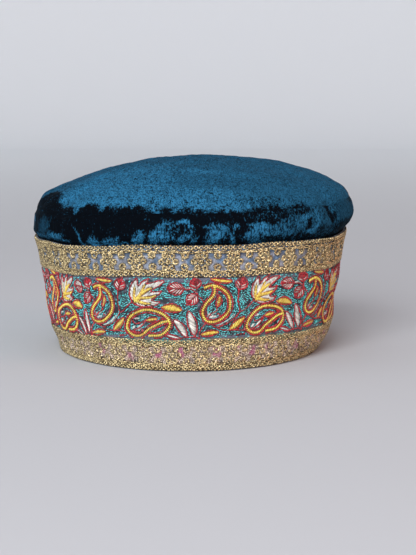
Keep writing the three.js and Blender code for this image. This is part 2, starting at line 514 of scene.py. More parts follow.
def stitch_shape(tree, given):
    """One stitch: a thread that arches over along X, thick in the middle and thin at its ends."""
    half = maths(tree, "MULTIPLY", out(given, "Length"), 0.5)
    arch = add(
        tree,
        "GeometryNodeCurveQuadraticBezier",
        {
            "Resolution": out(given, "Steps"),
            "Start": vector(tree, X=maths(tree, "MULTIPLY", half, -1.0)),
            "Middle": vector(tree, Z=maths(tree, "MULTIPLY", out(given, "Height"), 2.0)),
            "End": vector(tree, X=half),
        },
    )
    along = out(add(tree, "GeometryNodeSplineParameter"), "Factor")
    bow = maths(tree, "SINE", maths(tree, "MULTIPLY", along, math.pi))
    radius = maths(tree, "MULTIPLY", out(given, "Width"), 0.5)
    circle = {"Resolution": out(given, "Sides"), "Radius": radius}
    section = add(tree, "GeometryNodeCurvePrimitiveCircle", circle)
    thread = add(
        tree,
        "GeometryNodeCurveToMesh",
        {
            "Curve": keep_value(tree, out(arch), "middle", bow, "POINT"),
            "Profile Curve": out(section, "Curve"),
            "Scale": maths(tree, "MULTIPLY_ADD", bow, 0.5, 0.5),
            "Fill Caps": True,
        },
    )
    return out(thread)


def place_stitches(tree, given, points, forward, scale=(1.0, 1.0, 1.0)):
    """Lays a stitch on each point, flat on the cloth, then makes them real in their thread."""
    seed, uneven = out(given, "Seed"), out(given, "Unevenness")
    least = maths(tree, "MULTIPLY", uneven, -1.0)
    lie = add(
        tree,
        "FunctionNodeAxesToRotation",
        {"Primary Axis": named_value(tree, "outward"), "Secondary Axis": forward},
        primary_axis="Z",
        secondary_axis="X",
    )
    turn = maths(tree, "ADD", out(given, "Slant"), random_value(tree, least, uneven, seed))
    rock = random_value(tree, least, uneven, maths(tree, "ADD", seed, ROCK_SEED))
    spin = add(tree, "FunctionNodeEulerToRotation", {"Euler": vector(tree, Y=rock, Z=turn)})
    rotation = add(
        tree,
        "FunctionNodeRotateRotation",
        {"Rotation": out(lie), "Rotate By": out(spin)},
        rotation_space="LOCAL",
    )
    placed = add(
        tree,
        "GeometryNodeInstanceOnPoints",
        {
            "Points": points,
            "Instance": stitch_shape(tree, given),
            "Rotation": out(rotation),
            "Scale": scale,
        },
    )
    shade = random_value(tree, 0.0, 1.0, seed)
    shaded = keep_value(tree, out(placed), "shade", shade, "INSTANCE")
    real = add(tree, "GeometryNodeRealizeInstances", {"Geometry": shaded})
    rounded = add(
        tree, "GeometryNodeSetShadeSmooth", {"Geometry": out(real), "Shade Smooth": True}
    )
    dressed = add(
        tree,
        "GeometryNodeSetMaterial",
        {"Geometry": out(rounded), "Material": out(given, "Thread")},
    )
    tree.interface.new_socket("Geometry", in_out="OUTPUT", socket_type="NodeSocketGeometry")
    add(tree, "NodeGroupOutput", {"Geometry": out(dressed)})
    return tree


def line_stitch_tree(name):
    """Stitches one after another along drawn lines, such as a rope, an outline or a lace loop."""
    tree = new_tree(name, {**STITCH_INPUTS, "Pitch": 1.2 * MM})
    given = add(tree, "NodeGroupInput")
    line = add(tree, "GeometryNodeMeshToCurve", {"Mesh": out(given, "Geometry")})
    steps = {"Curve": out(line), "Length": out(given, "Pitch")}
    even = add(tree, "GeometryNodeResampleCurve", steps, mode="LENGTH")
    tangent = add(tree, "GeometryNodeInputTangent")
    return place_stitches(tree, given, out(even), out(tangent))


def laid_stitch_tree(name):
    """Single stitches on points that know their direction and their length."""
    tree = new_tree(name, STITCH_INPUTS)
    given = add(tree, "NodeGroupInput")
    run = named_value(tree, "run")
    size = vector_maths(tree, "LENGTH", {0: run}, "Value")
    stretch = maths(tree, "DIVIDE", size, out(given, "Length"))
    scale = vector(tree, X=stretch, Y=1.0, Z=1.0)
    return place_stitches(tree, given, out(given, "Geometry"), run, scale)


def seed_stitch_tree(name):
    """Short stitches scattered over a cloth wherever it is bare, along its flow."""
    tree = new_tree(name, {**STITCH_INPUTS, "Least Gap": 1.0 * MM})
    given = add(tree, "NodeGroupInput")
    gap = out(given, "Least Gap")
    crowding = 3.0  # places tried in each square of the least gap
    bare = named_value(tree, "bare", "FLOAT")
    covered = {
        "Geometry": out(given, "Geometry"),
        "Selection": maths(tree, "LESS_THAN", bare, 0.01),
    }
    open_cloth = add(tree, "GeometryNodeDeleteGeometry", covered, domain="FACE")
    scattered = add(
        tree,
        "GeometryNodeDistributePointsOnFaces",
        {
            "Mesh": out(open_cloth),
            "Distance Min": gap,
            "Density Max": maths(tree, "DIVIDE", crowding, maths(tree, "MULTIPLY", gap, gap)),
            "Density Factor": bare,
            "Seed": out(given, "Seed"),
        },
        distribute_method="POISSON",
    )
    return place_stitches(tree, given, out(scattered, "Points"), named_value(tree, "flow"))


STITCHERS = {
    "Stitches along lines": line_stitch_tree,
    "Laid stitches": laid_stitch_tree,
    "Seed stitches": seed_stitch_tree,
}


def stitch(name, mesh, kind, thread, **sizes):
    """Runs a stitching tree on a mesh and keeps what it makes, in a thread, as a plain mesh
    object. Sizes are given by the names of the tree's inputs, with _ for a space."""
    tree = made_once(bpy.data.node_groups, kind, STITCHERS[kind])
    sizes["Thread"] = made_once(bpy.data.materials, thread, thread_paint)
    made = add_object(name, mesh)
    modifier = made.modifiers.new("stitches", "NODES")
    modifier.node_group = tree
    for item in tree.interface.items_tree:
        given = item.name.replace(" ", "_")
        if item.item_type == "SOCKET" and item.in_out == "INPUT" and given in sizes:
            modifier[item.identifier] = sizes.pop(given)
    if sizes:
        raise RuntimeError(f"{kind} has no input named {', '.join(sizes)}")
    graph = bpy.context.evaluated_depsgraph_get()
    result = bpy.data.meshes.new_from_object(
        made.evaluated_get(graph), preserve_all_data_layers=True, depsgraph=graph
    )
    made.modifiers.remove(modifier)
    made.data = result
    bpy.data.meshes.remove(mesh)
    result.name = name
    return made


# ---- Shader groups and materials --------------------------------

# The noise of the materials, as lumps to the metre.
CLOUDS, BLOTCHES = 160.0, 190.0  # slow changes of a thread's and a net's colour
STRAY_THREADS, FRAYED, WANDERING = 500.0, 300.0, 260.0  # how threads, edges and bands wander
TUFTS, GRAIN = 330.0, 1150.0  # the velvet's crushed pile
UNEVEN_DYE, SPECKS = 330.0, 900.0  # the nets' dye, and single threads of a weave
GLINTS = 1500.0  # light and dark places along a thread


def mix_colour(tree, share, first, second, blend="MIX"):
    """From the first colour to the second one by a share."""
    values = {"Factor": share, "A": first, "B": second}
    return out(add(tree, "ShaderNodeMix", values, data_type="RGBA", blend_type=blend))


def noise(tree, scale, detail=2.0, roughness=0.5, distortion=0.0, output="Fac", place=None):
    """Noise fixed to the object, or to a place stored on its surface."""
    values = {
        "Vector": place or out(add(tree, "ShaderNodeTexCoord"), "Object"),
        "Scale": scale,
        "Detail": detail,
        "Roughness": roughness,
        "Distortion": distortion,
    }
    return out(add(tree, "ShaderNodeTexNoise", values), output)


def spread(tree, value, low, high, to_low=0.0, to_high=1.0):
    """A value spread from one range to another and kept inside it."""
    values = {"Value": value, "From Min": low, "From Max": high, "To Min": to_low, "To Max": to_high}
    return out(add(tree, "ShaderNodeMapRange", values, interpolation_type="SMOOTHSTEP"))


def centred(tree, value):
    """A value from 0 to 1, moved to lie either side of nought."""
    return maths(tree, "SUBTRACT", value, 0.5)


def toned(tree, colour, tone):
    """A colour made darker or lighter by a tone."""
    grey = out(add(tree, "ShaderNodeCombineColor", dict.fromkeys(range(3), tone)))
    return mix_colour(tree, 1.0, colour, grey, "MULTIPLY")


def colour_ramp(tree, value, stops):
    """The colour for a value, from stops that each have a place and a colour."""
    ramp = add(tree, "ShaderNodeValToRGB", {"Fac": value})
    elements = ramp.color_ramp.elements
    while len(elements) < len(stops):
        elements.new(0.5)
    for element, (place, colour) in zip(elements, stops):
        element.position, element.color = place, colour
    return out(ramp, "Color")


def attribute(tree, name, output="Fac"):
    """What the mesh holds under a name, read by a material."""
    return out(add(tree, "ShaderNodeAttribute", attribute_name=name), output)


def shader_group(name, inputs, numbers):
    """A shader node group with its named inputs, that puts out a colour and some numbers."""
    tree = new_tree(name, inputs, "ShaderNodeTree")
    tree.interface.new_socket("Color", in_out="OUTPUT", socket_type="NodeSocketColor")
    for label in numbers:
        tree.interface.new_socket(label, in_out="OUTPUT", socket_type="NodeSocketFloat")
    return tree, add(tree, "NodeGroupInput")


def thread_group(name):
    """Thread: a shade for each stitch, a slow change over the cap, painted glints along it, painted
    shade towards each stitch's ends, and fibres for the bump.
    """
    inputs = {
        "Dark": (0.1, 0.1, 0.1, 1),
        "Light": (0.5, 0.5, 0.5, 1),
        "Fibre Scale": 4000.0,
        "Speckle": 0.3,
        "Dark Ends": 0.2,
        "Dye": (0.4, 0.05, 0.15, 1),
    }
    tree, given = shader_group(name, inputs, ("Height", "Shade"))
    shade = attribute(tree, "shade")
    fibres = noise(tree, out(given, "Fibre Scale"), 3.0, 0.6)
    # Painted glints: fine noise makes light and dark places along each thread.
    glint = spread(tree, noise(tree, GLINTS, 1.0), 0.35, 0.65, -0.5, 0.5)
    # Painted shade: each stitch is darker towards its ends and lighter at its arch.
    from_end = maths(tree, "SUBTRACT", attribute(tree, "middle"), 0.7)
    tone = maths(tree, "MULTIPLY", noise(tree, CLOUDS), 0.45)
    for effect, weight in (
        (glint, out(given, "Speckle")),
        (from_end, out(given, "Dark Ends")),
        (shade, 0.65),
        (fibres, 0.25),
    ):
        tone = maths(tree, "MULTIPLY_ADD", effect, weight, tone)
    lit = spread(tree, tone, 0.2, 1.05)
    colour = mix_colour(tree, lit, out(given, "Dark"), out(given, "Light"))
    dyed = spread(tree, attribute(tree, "dyed"), 0.2, 0.6, 0.0, 0.65)
    colour = mix_colour(tree, dyed, colour, out(given, "Dye"))
    add(tree, "NodeGroupOutput", {"Color": colour, "Height": fibres, "Shade": shade})
    return tree


def weave_group(name):
    """Woven cloth or net: two sets of threads that cross at a slant, over what lies behind."""
    inputs = {
        "Thread": (0.5, 0.5, 0.5, 1),
        "Gap": (0.05, 0.05, 0.05, 1),
        "Pitch": 1.0 * MM,
        "Openness": 0.4,
    }
    tree, given = shader_group(name, inputs, ("Height",))
    cloth = out(add(tree, "ShaderNodeUVMap", uv_map="cloth"))
    stray = {0: noise(tree, STRAY_THREADS, 1.0, output="Color"), "Scale": 0.25 * MM}
    bent = vector_maths(tree, "ADD", {0: cloth, 1: vector_maths(tree, "SCALE", stray)})
    parts = add(tree, "ShaderNodeSeparateXYZ", {0: bent})
    turns = maths(tree, "DIVIDE", 2 * math.pi, out(given, "Pitch"))
    strands = []
    for lean in (0.6, -0.6):
        slanted = maths(tree, "MULTIPLY_ADD", out(parts, "Y"), lean, out(parts, "X"))
        strands.append(maths(tree, "COSINE", maths(tree, "MULTIPLY", slanted, turns)))
    cover = maths(tree, "MULTIPLY_ADD", maths(tree, "MAXIMUM", *strands), 0.5, 0.5)
    opening = out(given, "Openness")
    full = spread(tree, cover, opening, maths(tree, "ADD", opening, 0.4))
    colour = mix_colour(tree, full, out(given, "Gap"), out(given, "Thread"))
    speck = spread(tree, noise(tree, SPECKS), 0.35, 0.7, 0.75, 1.2)
    add(tree, "NodeGroupOutput", {"Color": toned(tree, colour, speck), "Height": cover})
    return tree


def rgba(colour, factor=1.0):
    """A colour with its alpha, made darker or lighter by a factor."""
    return tuple(min(1.0, channel * factor) for channel in colour) + (1.0,)


class Paint:
    """A material being made: its tree and its one shader, with constants set on the shader."""

    def __init__(self, name, **constants):
        self.material = bpy.data.materials.new(name)
        self.material.use_nodes = True
        self.tree = self.material.node_tree
        self.tree.nodes.clear()
        self.shader = add(self.tree, "ShaderNodeBsdfPrincipled")
        for label, value in constants.items():
            self.shader.inputs[label.replace("_", " ")].default_value = value
        add(self.tree, "ShaderNodeOutputMaterial", {"Surface": out(self.shader)})

    def feed(self, label, socket):
        """Links a socket to one of the shader's inputs."""
        self.tree.links.new(socket, self.shader.inputs[label])

    def bump(self, height, strength, distance):
        """Bends the light over a relief."""
        values = {"Height": height, "Strength": strength, "Distance": distance}
        self.feed("Normal", out(add(self.tree, "ShaderNodeBump", values)))

    def group(self, name, maker, **inputs):
        """Places a shader group, its inputs given by their names with _ for a space."""
        tree = made_once(bpy.data.node_groups, name, maker)
        placed = add(self.tree, "ShaderNodeGroup", node_tree=tree)
        for label, value in inputs.items():
            placed.inputs[label.replace("_", " ")].default_value = value
        return placed

    def weave(self, thread, gap, pitch, openness):
        """Places the weave, with the colours of its threads and of the gaps between them."""
        return self.group(
            "Weave", weave_group, Thread=thread, Gap=gap, Pitch=pitch, Openness=openness
        )


# The threads: the colour and factor of their darkest and lightest stitches, their roughness, the noise
# of their fibres, how much they are speckled with painted glints and darkened at their ends with
# painted shade, and their finish. Their darkest and lightest colours serve for these painted glints and
# painted shade as well as for the tone of each stitch.
Thread = namedtuple("Thread", "dark darken light lighten rough fibres speckle ends finish")
SILK = {"Sheen_Weight": 0.15, "Specular_IOR_Level": 0.55}
METAL = {"Metallic": 0.6, "Specular_IOR_Level": 0.8}
THREADS = {
    "teal silk": Thread("teal", 0.1, "teal", 1.6, 0.42, 4000.0, 0.4, 0.3, SILK),
    "red silk": Thread("red", 0.2, "red", 1.2, 0.5, 4000.0, 0.4, 0.5, SILK),
    "yellow silk": Thread("amber", 1.0, "yellow", 1.0, 0.36, 4000.0, 0.6, 1.2, SILK),
    "white silk": Thread("white", 0.5, "white", 1.2, 0.5, 4000.0, 0.3, 0.3, SILK),
    "gold thread": Thread("bronze", 1.0, "gold", 1.0, 0.32, 2600.0, 1.0, 0.6, METAL),
    "rose thread": Thread("rose", 0.22, "rose", 1.25, 0.5, 4000.0, 0.7, 0.5, SILK),
    "backing thread": Thread("backing", 0.6, "backing", 1.4, 0.6, 4000.0, 0.3, 0.3, {}),
}


def thread_paint(name):
    """Thread whose stitches run from a darker to a lighter colour."""
    thread, colours = THREADS[name], bpy.context.scene.velvet_cap_colours
    paint = Paint(name, **thread.finish)
    tones = paint.group(
        "Thread tone",
        thread_group,
        Dark=rgba(getattr(colours, thread.dark), thread.darken),
        Light=rgba(getattr(colours, thread.light), thread.lighten),
        Fibre_Scale=thread.fibres,
        Speckle=thread.speckle,
        Dark_Ends=thread.ends,
        Dye=rgba(colours.stain),
    )
    dull, shiny = thread.rough * 1.25, thread.rough * 0.75
    paint.feed("Base Color", out(tones, "Color"))
    paint.feed("Roughness", spread(paint.tree, out(tones, "Shade"), 0.0, 1.0, dull, shiny))
    paint.bump(out(tones, "Height"), 0.35, 0.12 * MM)
    return paint.material


# The velvet's colours by how far its pile lies over, with its sheen and shade painted in: where each is
# reached, and how much of it.
Shade = namedtuple("Shade", "place colour factor")
VELVET_SHADES = (
    Shade(0.26, "velvet_deep", 1.0),
    Shade(0.40, "velvet_mid", 0.3),
    Shade(0.58, "velvet_mid", 1.0),
    Shade(0.80, "velvet_bright", 1.0),
    Shade(1.10, "velvet_bright", 1.7),
)


def velvet_pile(name):
    """Crushed velvet, its sheen and shade painted into its colour: painted shade, near black, where the
    pile stands end on, and a painted sheen, bright, where it lies over. The pile attribute says how far
    it lies over, calm how evenly, and nap the way it was combed."""
    colours = bpy.context.scene.velvet_cap_colours
    paint = Paint(
        name,
        Roughness=0.9,
        Sheen_Weight=0.03,
        Sheen_Roughness=0.3,
        Sheen_Tint=(0.15, 0.55, 0.9, 1),
        Specular_IOR_Level=0.03,
    )
    tree = paint.tree
    nap = attribute(tree, "nap", "Vector")
    wild = maths(tree, "SUBTRACT", 1.0, attribute(tree, "calm"))
    tufts = centred(tree, noise(tree, TUFTS, 5.0, 0.7, 0.8, place=nap))
    grain = centred(tree, noise(tree, GRAIN, 2.0, 0.8, place=nap))
    ruffled = maths(tree, "MULTIPLY", tufts, wild)
    lifted = maths(tree, "MULTIPLY_ADD", ruffled, 2.0, attribute(tree, "pile"))
    uneven = maths(tree, "MULTIPLY_ADD", wild, 2.6, 0.4)
    speckles = maths(tree, "MULTIPLY", grain, uneven)
    leaning = maths(tree, "MULTIPLY_ADD", speckles, 1.1, lifted)
    span = VELVET_SHADES[-1].place
    stops = [
        (shade.place / span, rgba(getattr(colours, shade.colour), shade.factor))
        for shade in VELVET_SHADES
    ]
    paint.feed("Base Color", colour_ramp(tree, maths(tree, "DIVIDE", leaning, span), stops))
    paint.bump(maths(tree, "MULTIPLY_ADD", grain, 0.6, tufts), 0.4, 0.5 * MM)
    return paint.material


def backing_cloth(name):
    """Plain dark cloth."""
    colour = bpy.context.scene.velvet_cap_colours.backing
    paint = Paint(name, Roughness=0.85, Sheen_Weight=0.2)
    cloth = paint.weave(rgba(colour), rgba(colour, 0.35), 0.6 * MM, 0.2)
    paint.feed("Base Color", out(cloth, "Color"))
    paint.bump(out(cloth, "Height"), 0.5, 0.15 * MM)
    return paint.material


LILAC, LILAC_GAP = (0.14, 0.15, 0.2, 1), (0.03, 0.035, 0.055, 1)


def ribbon_cloth(name):
    """The ribbon's ground: dark net with lilac places, lilac all along its edges."""
    colour = bpy.context.scene.velvet_cap_colours.ribbon
    paint = Paint(name, Roughness=0.75, Sheen_Weight=0.15)
    tree = paint.tree
    cloth = paint.weave(rgba(colour), rgba(colour, 0.3), 0.9 * MM, 0.3)
    edging = paint.weave(LILAC, LILAC_GAP, 0.8 * MM, 0.4)
    ragged = centred(tree, noise(tree, FRAYED, 3.0))
    edge = maths(tree, "ADD", attribute(tree, "edge"), 0.35)
    lilac = spread(tree, maths(tree, "MULTIPLY_ADD", ragged, 2.0, edge), 0.35, 0.8)
    colours = out(cloth, "Color"), out(edging, "Color")
    paint.feed("Base Color", mix_colour(tree, lilac, *colours))
    paint.bump(out(cloth, "Height"), 0.5, 0.15 * MM)
    return paint.material


# Bands of colour across the nets, from their inner edge to their outer one: where each is
# reached, and its colour on either net. None is the net's own colour.
Band = namedtuple("Band", "place upper lower")
BROWN, SEA_GREEN = (0.075, 0.05, 0.03), (0.10, 0.36, 0.30)
SLATE, STEEL, NAVY_SHADE = (0.06, 0.075, 0.10), (0.06, 0.075, 0.11), (0.02, 0.04, 0.085)
NET_BANDS = (
    Band(0.0, BROWN, BROWN),
    Band(0.05, SLATE, SEA_GREEN),
    Band(0.11, SLATE, SEA_GREEN),
    Band(0.19, BROWN, BROWN),
    Band(0.27, None, None),
    Band(0.64, None, None),
    # Painted shade: the upper net turns navy beside its outer border and rings.
    Band(0.74, NAVY_SHADE, BROWN),
    Band(0.84, STEEL, BROWN),
    Band(0.94, STEEL, BROWN),
)
NET_CLOUDS = {"upper": (0.075, 0.135, 0.23), "lower": (0.30, 0.19, 0.12)}
NET_PITCH = {"upper": 0.9 * MM, "lower": 0.7 * MM}


def net_cloth(which):
    """Net under the upper or the lower lace: dyed in bands, clouded and, in places, stained."""
    colours = bpy.context.scene.velvet_cap_colours
    paint = Paint(f"{which} net", Roughness=0.6, Sheen_Weight=0.1)
    tree = paint.tree
    cloth = paint.weave((1, 1, 1, 1), (0.4, 0.4, 0.4, 1), NET_PITCH[which], 0.1)
    stray = centred(tree, noise(tree, WANDERING, 2.0))
    across = maths(tree, "MULTIPLY_ADD", stray, 0.12, attribute(tree, "across"))
    own = getattr(colours, f"{which}_net")
    stops = [(band.place, rgba(getattr(band, which) or own)) for band in NET_BANDS]
    clouds = spread(tree, noise(tree, BLOTCHES, 2.0), 0.45, 0.62)
    colour = mix_colour(tree, clouds, colour_ramp(tree, across, stops), rgba(NET_CLOUDS[which]))
    uneven = spread(tree, noise(tree, UNEVEN_DYE, 2.0), 0.35, 0.65, 0.6, 1.25)
    stained = spread(tree, attribute(tree, "dyed"), 0.25, 0.6)
    colour = mix_colour(tree, stained, toned(tree, colour, uneven), rgba(colours.stain))
    paint.feed("Base Color", mix_colour(tree, 1.0, colour, out(cloth, "Color"), "MULTIPLY"))
    paint.bump(out(cloth, "Height"), 0.5, 0.12 * MM)
    return paint.material


# ---- The embroidery, drawn flat ---------------------------------

# Its places are in millimetres along the ribbon and over the rim.

REPEAT = ROUND / 8.4  # length of the pattern, which doesn't go round a whole number of times
JOIN = 1.6  # bare width on each side of the ribbon's join at the back
OUTLINE_GAP = 0.5  # from the edge of a rope or a yellow leaf to its red outline
RIB_WIDTH, LINE_WIDTH = 2.3, 0.9  # of the flower's ribs and of the white lines
VEIN_PITCH = 0.75  # from one stitch of a bud to the next
PETAL_PITCH, PETAL_STITCH = 0.66, 2.8  # the flower's stitches: from one to the next, and length
SHORTEST, LONGEST = 0.45, 12.0  # of the laid stitches

LYING_PAISLEY = (
    (-12.4, 28.5), (-14.0, 28.2), (-15.7, 27.8), (-17.3, 27.2), (-19.8, 25.9), (-23.1, 24.1),
    (-26.4, 22.1), (-28.3, 20.6), (-30.6, 19.5), (-33.1, 19.2), (-35.4, 19.7), (-37.3, 21.0),
    (-38.5, 22.7), (-38.6, 24.4), (-37.6, 26.7), (-35.6, 29.5), (-33.2, 31.4), (-30.1, 33.0),
    (-26.8, 33.8), (-23.4, 33.9), (-20.0, 33.4), (-17.0, 32.5), (-14.2, 31.2), (-12.5, 29.6),
    (-11.8, 27.8), (-12.1, 25.9), (-13.6, 23.8), (-15.5, 22.1), (-17.4, 20.8), (-20.4, 19.8),
    (-25.4, 19.3),
)
TALL_PAISLEY = (
    (7.0, 47.2), (9.2, 48.1), (12.0, 48.4), (14.6, 47.7), (17.4, 46.3), (19.6, 44.2),
    (21.0, 41.7), (21.8, 38.6), (22.1, 35.8), (21.3, 33.0), (19.4, 30.9), (16.6, 29.0),
    (13.2, 27.9), (10.0, 28.0), (8.0, 29.4), (6.8, 31.7), (6.6, 34.3), (7.4, 36.8),
    (9.1, 39.6), (11.2, 41.7), (12.4, 43.8), (12.7, 46.2), (12.5, 48.2),
)

# Leaves and buds: their base and tip, their greatest width, and how far they bow to the left.
Leaf = namedtuple("Leaf", "base_s base_h tip_s tip_h width bow")
YELLOW_LEAVES = table(
    Leaf,
    (-17.0, 35.5, -4.8, 34.9, 3.9, 0.7), (-26.0, 27.9, -19.2, 29.5, 2.0, 0.0),
    (-47.4, 22.9, -39.6, 29.6, 3.0, 0.0), (4.9, 20.5, 15.9, 22.3, 2.2, 0.2),
    (10.8, 52.0, 23.0, 51.1, 1.9, -0.3), (15.1, 36.8, 15.4, 43.0, 2.4, 0.0),
)
WHITE_LEAVES = table(
    Leaf,
    (1.3, 20.0, -1.4, 34.3, 5.0, -0.9), (-3.3, 19.4, -9.9, 29.7, 4.6, -0.8),
    (-7.0, 18.6, -15.8, 20.7, 2.0, 0.0),
)
PETALS = table(
    Leaf,
    (-35.5, 22.7, -33.5, 24.9, 1.3, 0.0), (-32.0, 23.1, -28.9, 25.7, 1.2, 0.0),
    (-33.2, 22.2, -30.4, 22.8, 1.2, 0.0), (-33.6, 28.6, -30.0, 29.4, 1.2, 0.0),
    (10.0, 31.2, 10.9, 33.3, 1.1, 0.0), (11.7, 31.8, 14.3, 34.3, 1.3, 0.0),
    (10.3, 30.2, 14.8, 31.4, 1.4, 0.0),
)
RED_PETALS = table(
    Leaf,
    (-30.2, 23.2, -28.8, 21.3, 1.4, 0.0), (-35.2, 21.4, -30.7, 21.2, 1.1, 0.0),
    (-17.7, 30.8, -15.2, 28.9, 1.7, 0.0), (15.3, 32.4, 18.6, 31.0, 1.6, 0.0),
    (8.8, 33.8, 9.5, 31.3, 1.2, 0.0),
)

# striped: the share of a bud's length that has pale stripes.
Bud = namedtuple("Bud", "leaf striped")
BUDS = (
    Bud(Leaf(-4.0, 46.6, -13.8, 46.5, 6.9, 0.0), 0.65),
    Bud(Leaf(2.8, 46.9, 1.4, 52.7, 6.4, 0.0), 0.25),
    Bud(Leaf(2.7, 43.6, -2.7, 37.8, 6.6, 0.0), 0.5),
    Bud(Leaf(-43.0, 45.5, -39.8, 52.0, 7.0, 0.0), 0.5),
)

# The leaf-shaped flower: the stretches of its outline from corner to corner, then its ribs.
FLOWER = (
    (
        (-34.7, 38.0), (-35.3, 40.4), (-36.0, 42.5), (-35.3, 46.2), (-34.0, 48.5), (-32.2, 50.2),
        (-30.9, 51.6),
    ),
    ((-30.9, 51.6), (-30.3, 49.4), (-30.2, 47.1)),
    ((-30.2, 47.1), (-28.7, 48.4), (-27.5, 49.8), (-25.5, 50.5), (-23.2, 51.7)),
    ((-23.2, 51.7), (-24.1, 49.9), (-25.1, 48.3)),
    ((-25.1, 48.3), (-22.8, 49.1), (-20.2, 50.0), (-17.0, 50.8), (-14.5, 50.4)),
    ((-14.5, 50.4), (-17.6, 48.0), (-20.3, 46.4), (-23.1, 44.5)),
    ((-23.1, 44.5), (-20.9, 44.3), (-18.5, 44.7), (-16.5, 45.1)),
    ((-16.5, 45.1), (-18.1, 42.9), (-20.6, 41.1), (-23.0, 39.7)),
    ((-23.0, 39.7), (-20.9, 39.0), (-17.9, 38.9)),
    (
        (-17.9, 38.9), (-19.5, 37.1), (-22.6, 35.9), (-26.4, 35.5), (-30.3, 35.9), (-32.6, 36.8),
        (-34.7, 38.0),
    ),
)
FLOWER_HEART = (-33.4, 39.0)  # where its stitches spread from
FLOWER_RIBS = (
    ((-33.2, 39.2), (-33.1, 42.2), (-32.4, 46.4)),
    ((-32.4, 39.4), (-30.1, 41.8), (-28.3, 44.2), (-26.2, 47.6)),
    ((-28.6, 42.9), (-26.2, 44.6), (-22.6, 46.1)),
    ((-31.6, 40.2), (-27.6, 40.7), (-23.9, 40.9), (-20.5, 42.1)),
    ((-32.9, 38.6), (-30.0, 38.3), (-27.2, 37.4), (-23.5, 37.3)),
)
RED_LINES = (
    ((-43.2, 45.8), (-43.5, 42.5), (-43.6, 40.0), (-43.0, 37.5), (-42.4, 35.0), (-42.2, 32.8)),
    ((-42.2, 32.8), (-44.2, 29.9), (-46.6, 28.0), (-49.7, 26.4), (-54.2, 24.7)),
    ((-42.2, 32.8), (-39.8, 33.6), (-37.4, 35.6), (-35.9, 37.0), (-34.7, 38.0)),
    ((-4.2, 46.6), (-2.5, 46.1), (-0.9, 46.4), (1.0, 45.7), (2.4, 44.2)),
    ((2.8, 46.9), (2.8, 45.6), (3.2, 43.4), (4.9, 41.7), (6.6, 39.2)),
    ((-7.0, 18.6), (-3.4, 19.2), (1.3, 19.6), (3.5, 18.9)),
    ((3.6, 18.8), (4.5, 22.4), (6.2, 24.8), (8.2, 26.8), (9.4, 29.2)),
    (
        (9.2, 29.6), (10.6, 31.4), (12.2, 33.2), (14.8, 35.0), (13.6, 37.4), (13.7, 40.4),
        (14.6, 43.0),
    ),
    (
        (8.0, 26.7), (9.9, 27.0), (11.8, 26.3), (14.7, 24.6), (19.1, 23.2), (23.6, 23.2),
        (27.9, 22.2), (31.0, 22.1),
    ),
    ((-26.4, 28.0), (-28.9, 26.6), (-30.9, 26.2), (-32.8, 25.9), (-34.0, 27.4)),
    ((-27.0, 26.8), (-28.7, 25.0), (-30.9, 23.4), (-34.5, 22.3), (-36.6, 21.4)),
    ((-43.7, 20.0), (-40.3, 20.0)),
)
WHITE_LINES = (
    ((-44.8, 31.2), (-47.2, 29.1), (-49.4, 27.9), (-52.6, 26.4), (-55.0, 25.9)),
    ((-3.2, 46.8), (-0.4, 46.9), (2.0, 45.5)),
)

# How far the hand strayed from the chart: along the ribbon in its lower and upper row, and up.
Stray = namedtuple("Stray", "s low high up")
STRAYS = table(
    Stray,
    (-300, 0.0, 0.0, 0.0), (-250, 2.0, 1.0, 0.6), (-190, 12.0, 12.0, -0.5),
    (-150, 20.0, 21.0, 0.0), (-132, 23.0, 25.0, 0.0), (-117, 15.0, 20.0, 0.0),
    (-105, 6.5, 13.5, -0.2), (-92, 5.5, 10.0, 0.6), (-84, 4.5, 7.5, 0.0), (-72, 2.0, 4.0, -0.8),
    (-63, -0.5, 2.6, -1.0), (-48, -0.5, 0.2, -0.9), (-36, 0.0, 0.0, 0.0), (20, 0.0, 0.0, 0.0),
    (32, 2.3, 0.6, 0.9), (45, 1.2, -0.5, 1.2), (57, 0.8, -2.2, 0.9), (68, 0.2, -1.6, 0.3),
    (80, 1.4, 1.8, -0.4), (100, 0.0, 0.0, 0.0), (160, -0.9, 0.7, 0.5), (230, 0.8, -0.5, -0.6),
    (300, 0.0, 0.0, 0.0),
)


def smooth(points, closed=False, step=0.5):
    """Points about a step apart on a smooth curve through a few points."""
    p = np.asarray(points, float)
    before, after = (p[-1:], p[:2]) if closed else (2 * p[:1] - p[1:2], 2 * p[-1:] - p[-2:-1])
    p = np.concatenate([before, p, after])
    made = []
    for a, b, c, d in zip(p, p[1:], p[2:], p[3:]):
        count = max(1, round(float(np.hypot(*(c - b))) / step))
        t = (np.arange(count) / count)[:, None]
        bend = (2 * a - 5 * b + 4 * c - d) * t**2 + (3 * b - a - 3 * c + d) * t**3
        made.append(b + ((c - a) * t + bend) / 2)
    return np.concatenate(made if closed else made + [p[-2:-1]])


def beside(line, distance):
    """A line that runs beside another, to its left."""
    run = np.gradient(line, axis=0)
    run /= np.maximum(np.hypot(*run.T)[:, None], 1e-9)
    return line + distance * np.stack([-run[:, 1], run[:, 0]], -1)


def leaf_place(leaf, t, across, margin=0.0):
    """Places on a leaf: t from its base to its tip, across from -1 to 1 between its margins."""
    base, tip = np.array(leaf[:2]), np.array(leaf[2:4])
    run = tip - base
    left = np.array([-run[1], run[0]]) / np.hypot(*run)
    t = np.asarray(t, float)
    bulge = np.sin(np.pi * np.clip(t, 0, 1) ** 0.92) ** 0.75
    offset = leaf.bow * 4 * t * (1 - t) + across * (leaf.width / 2 * bulge + margin)
    return base + t[..., None] * run + offset[..., None] * left


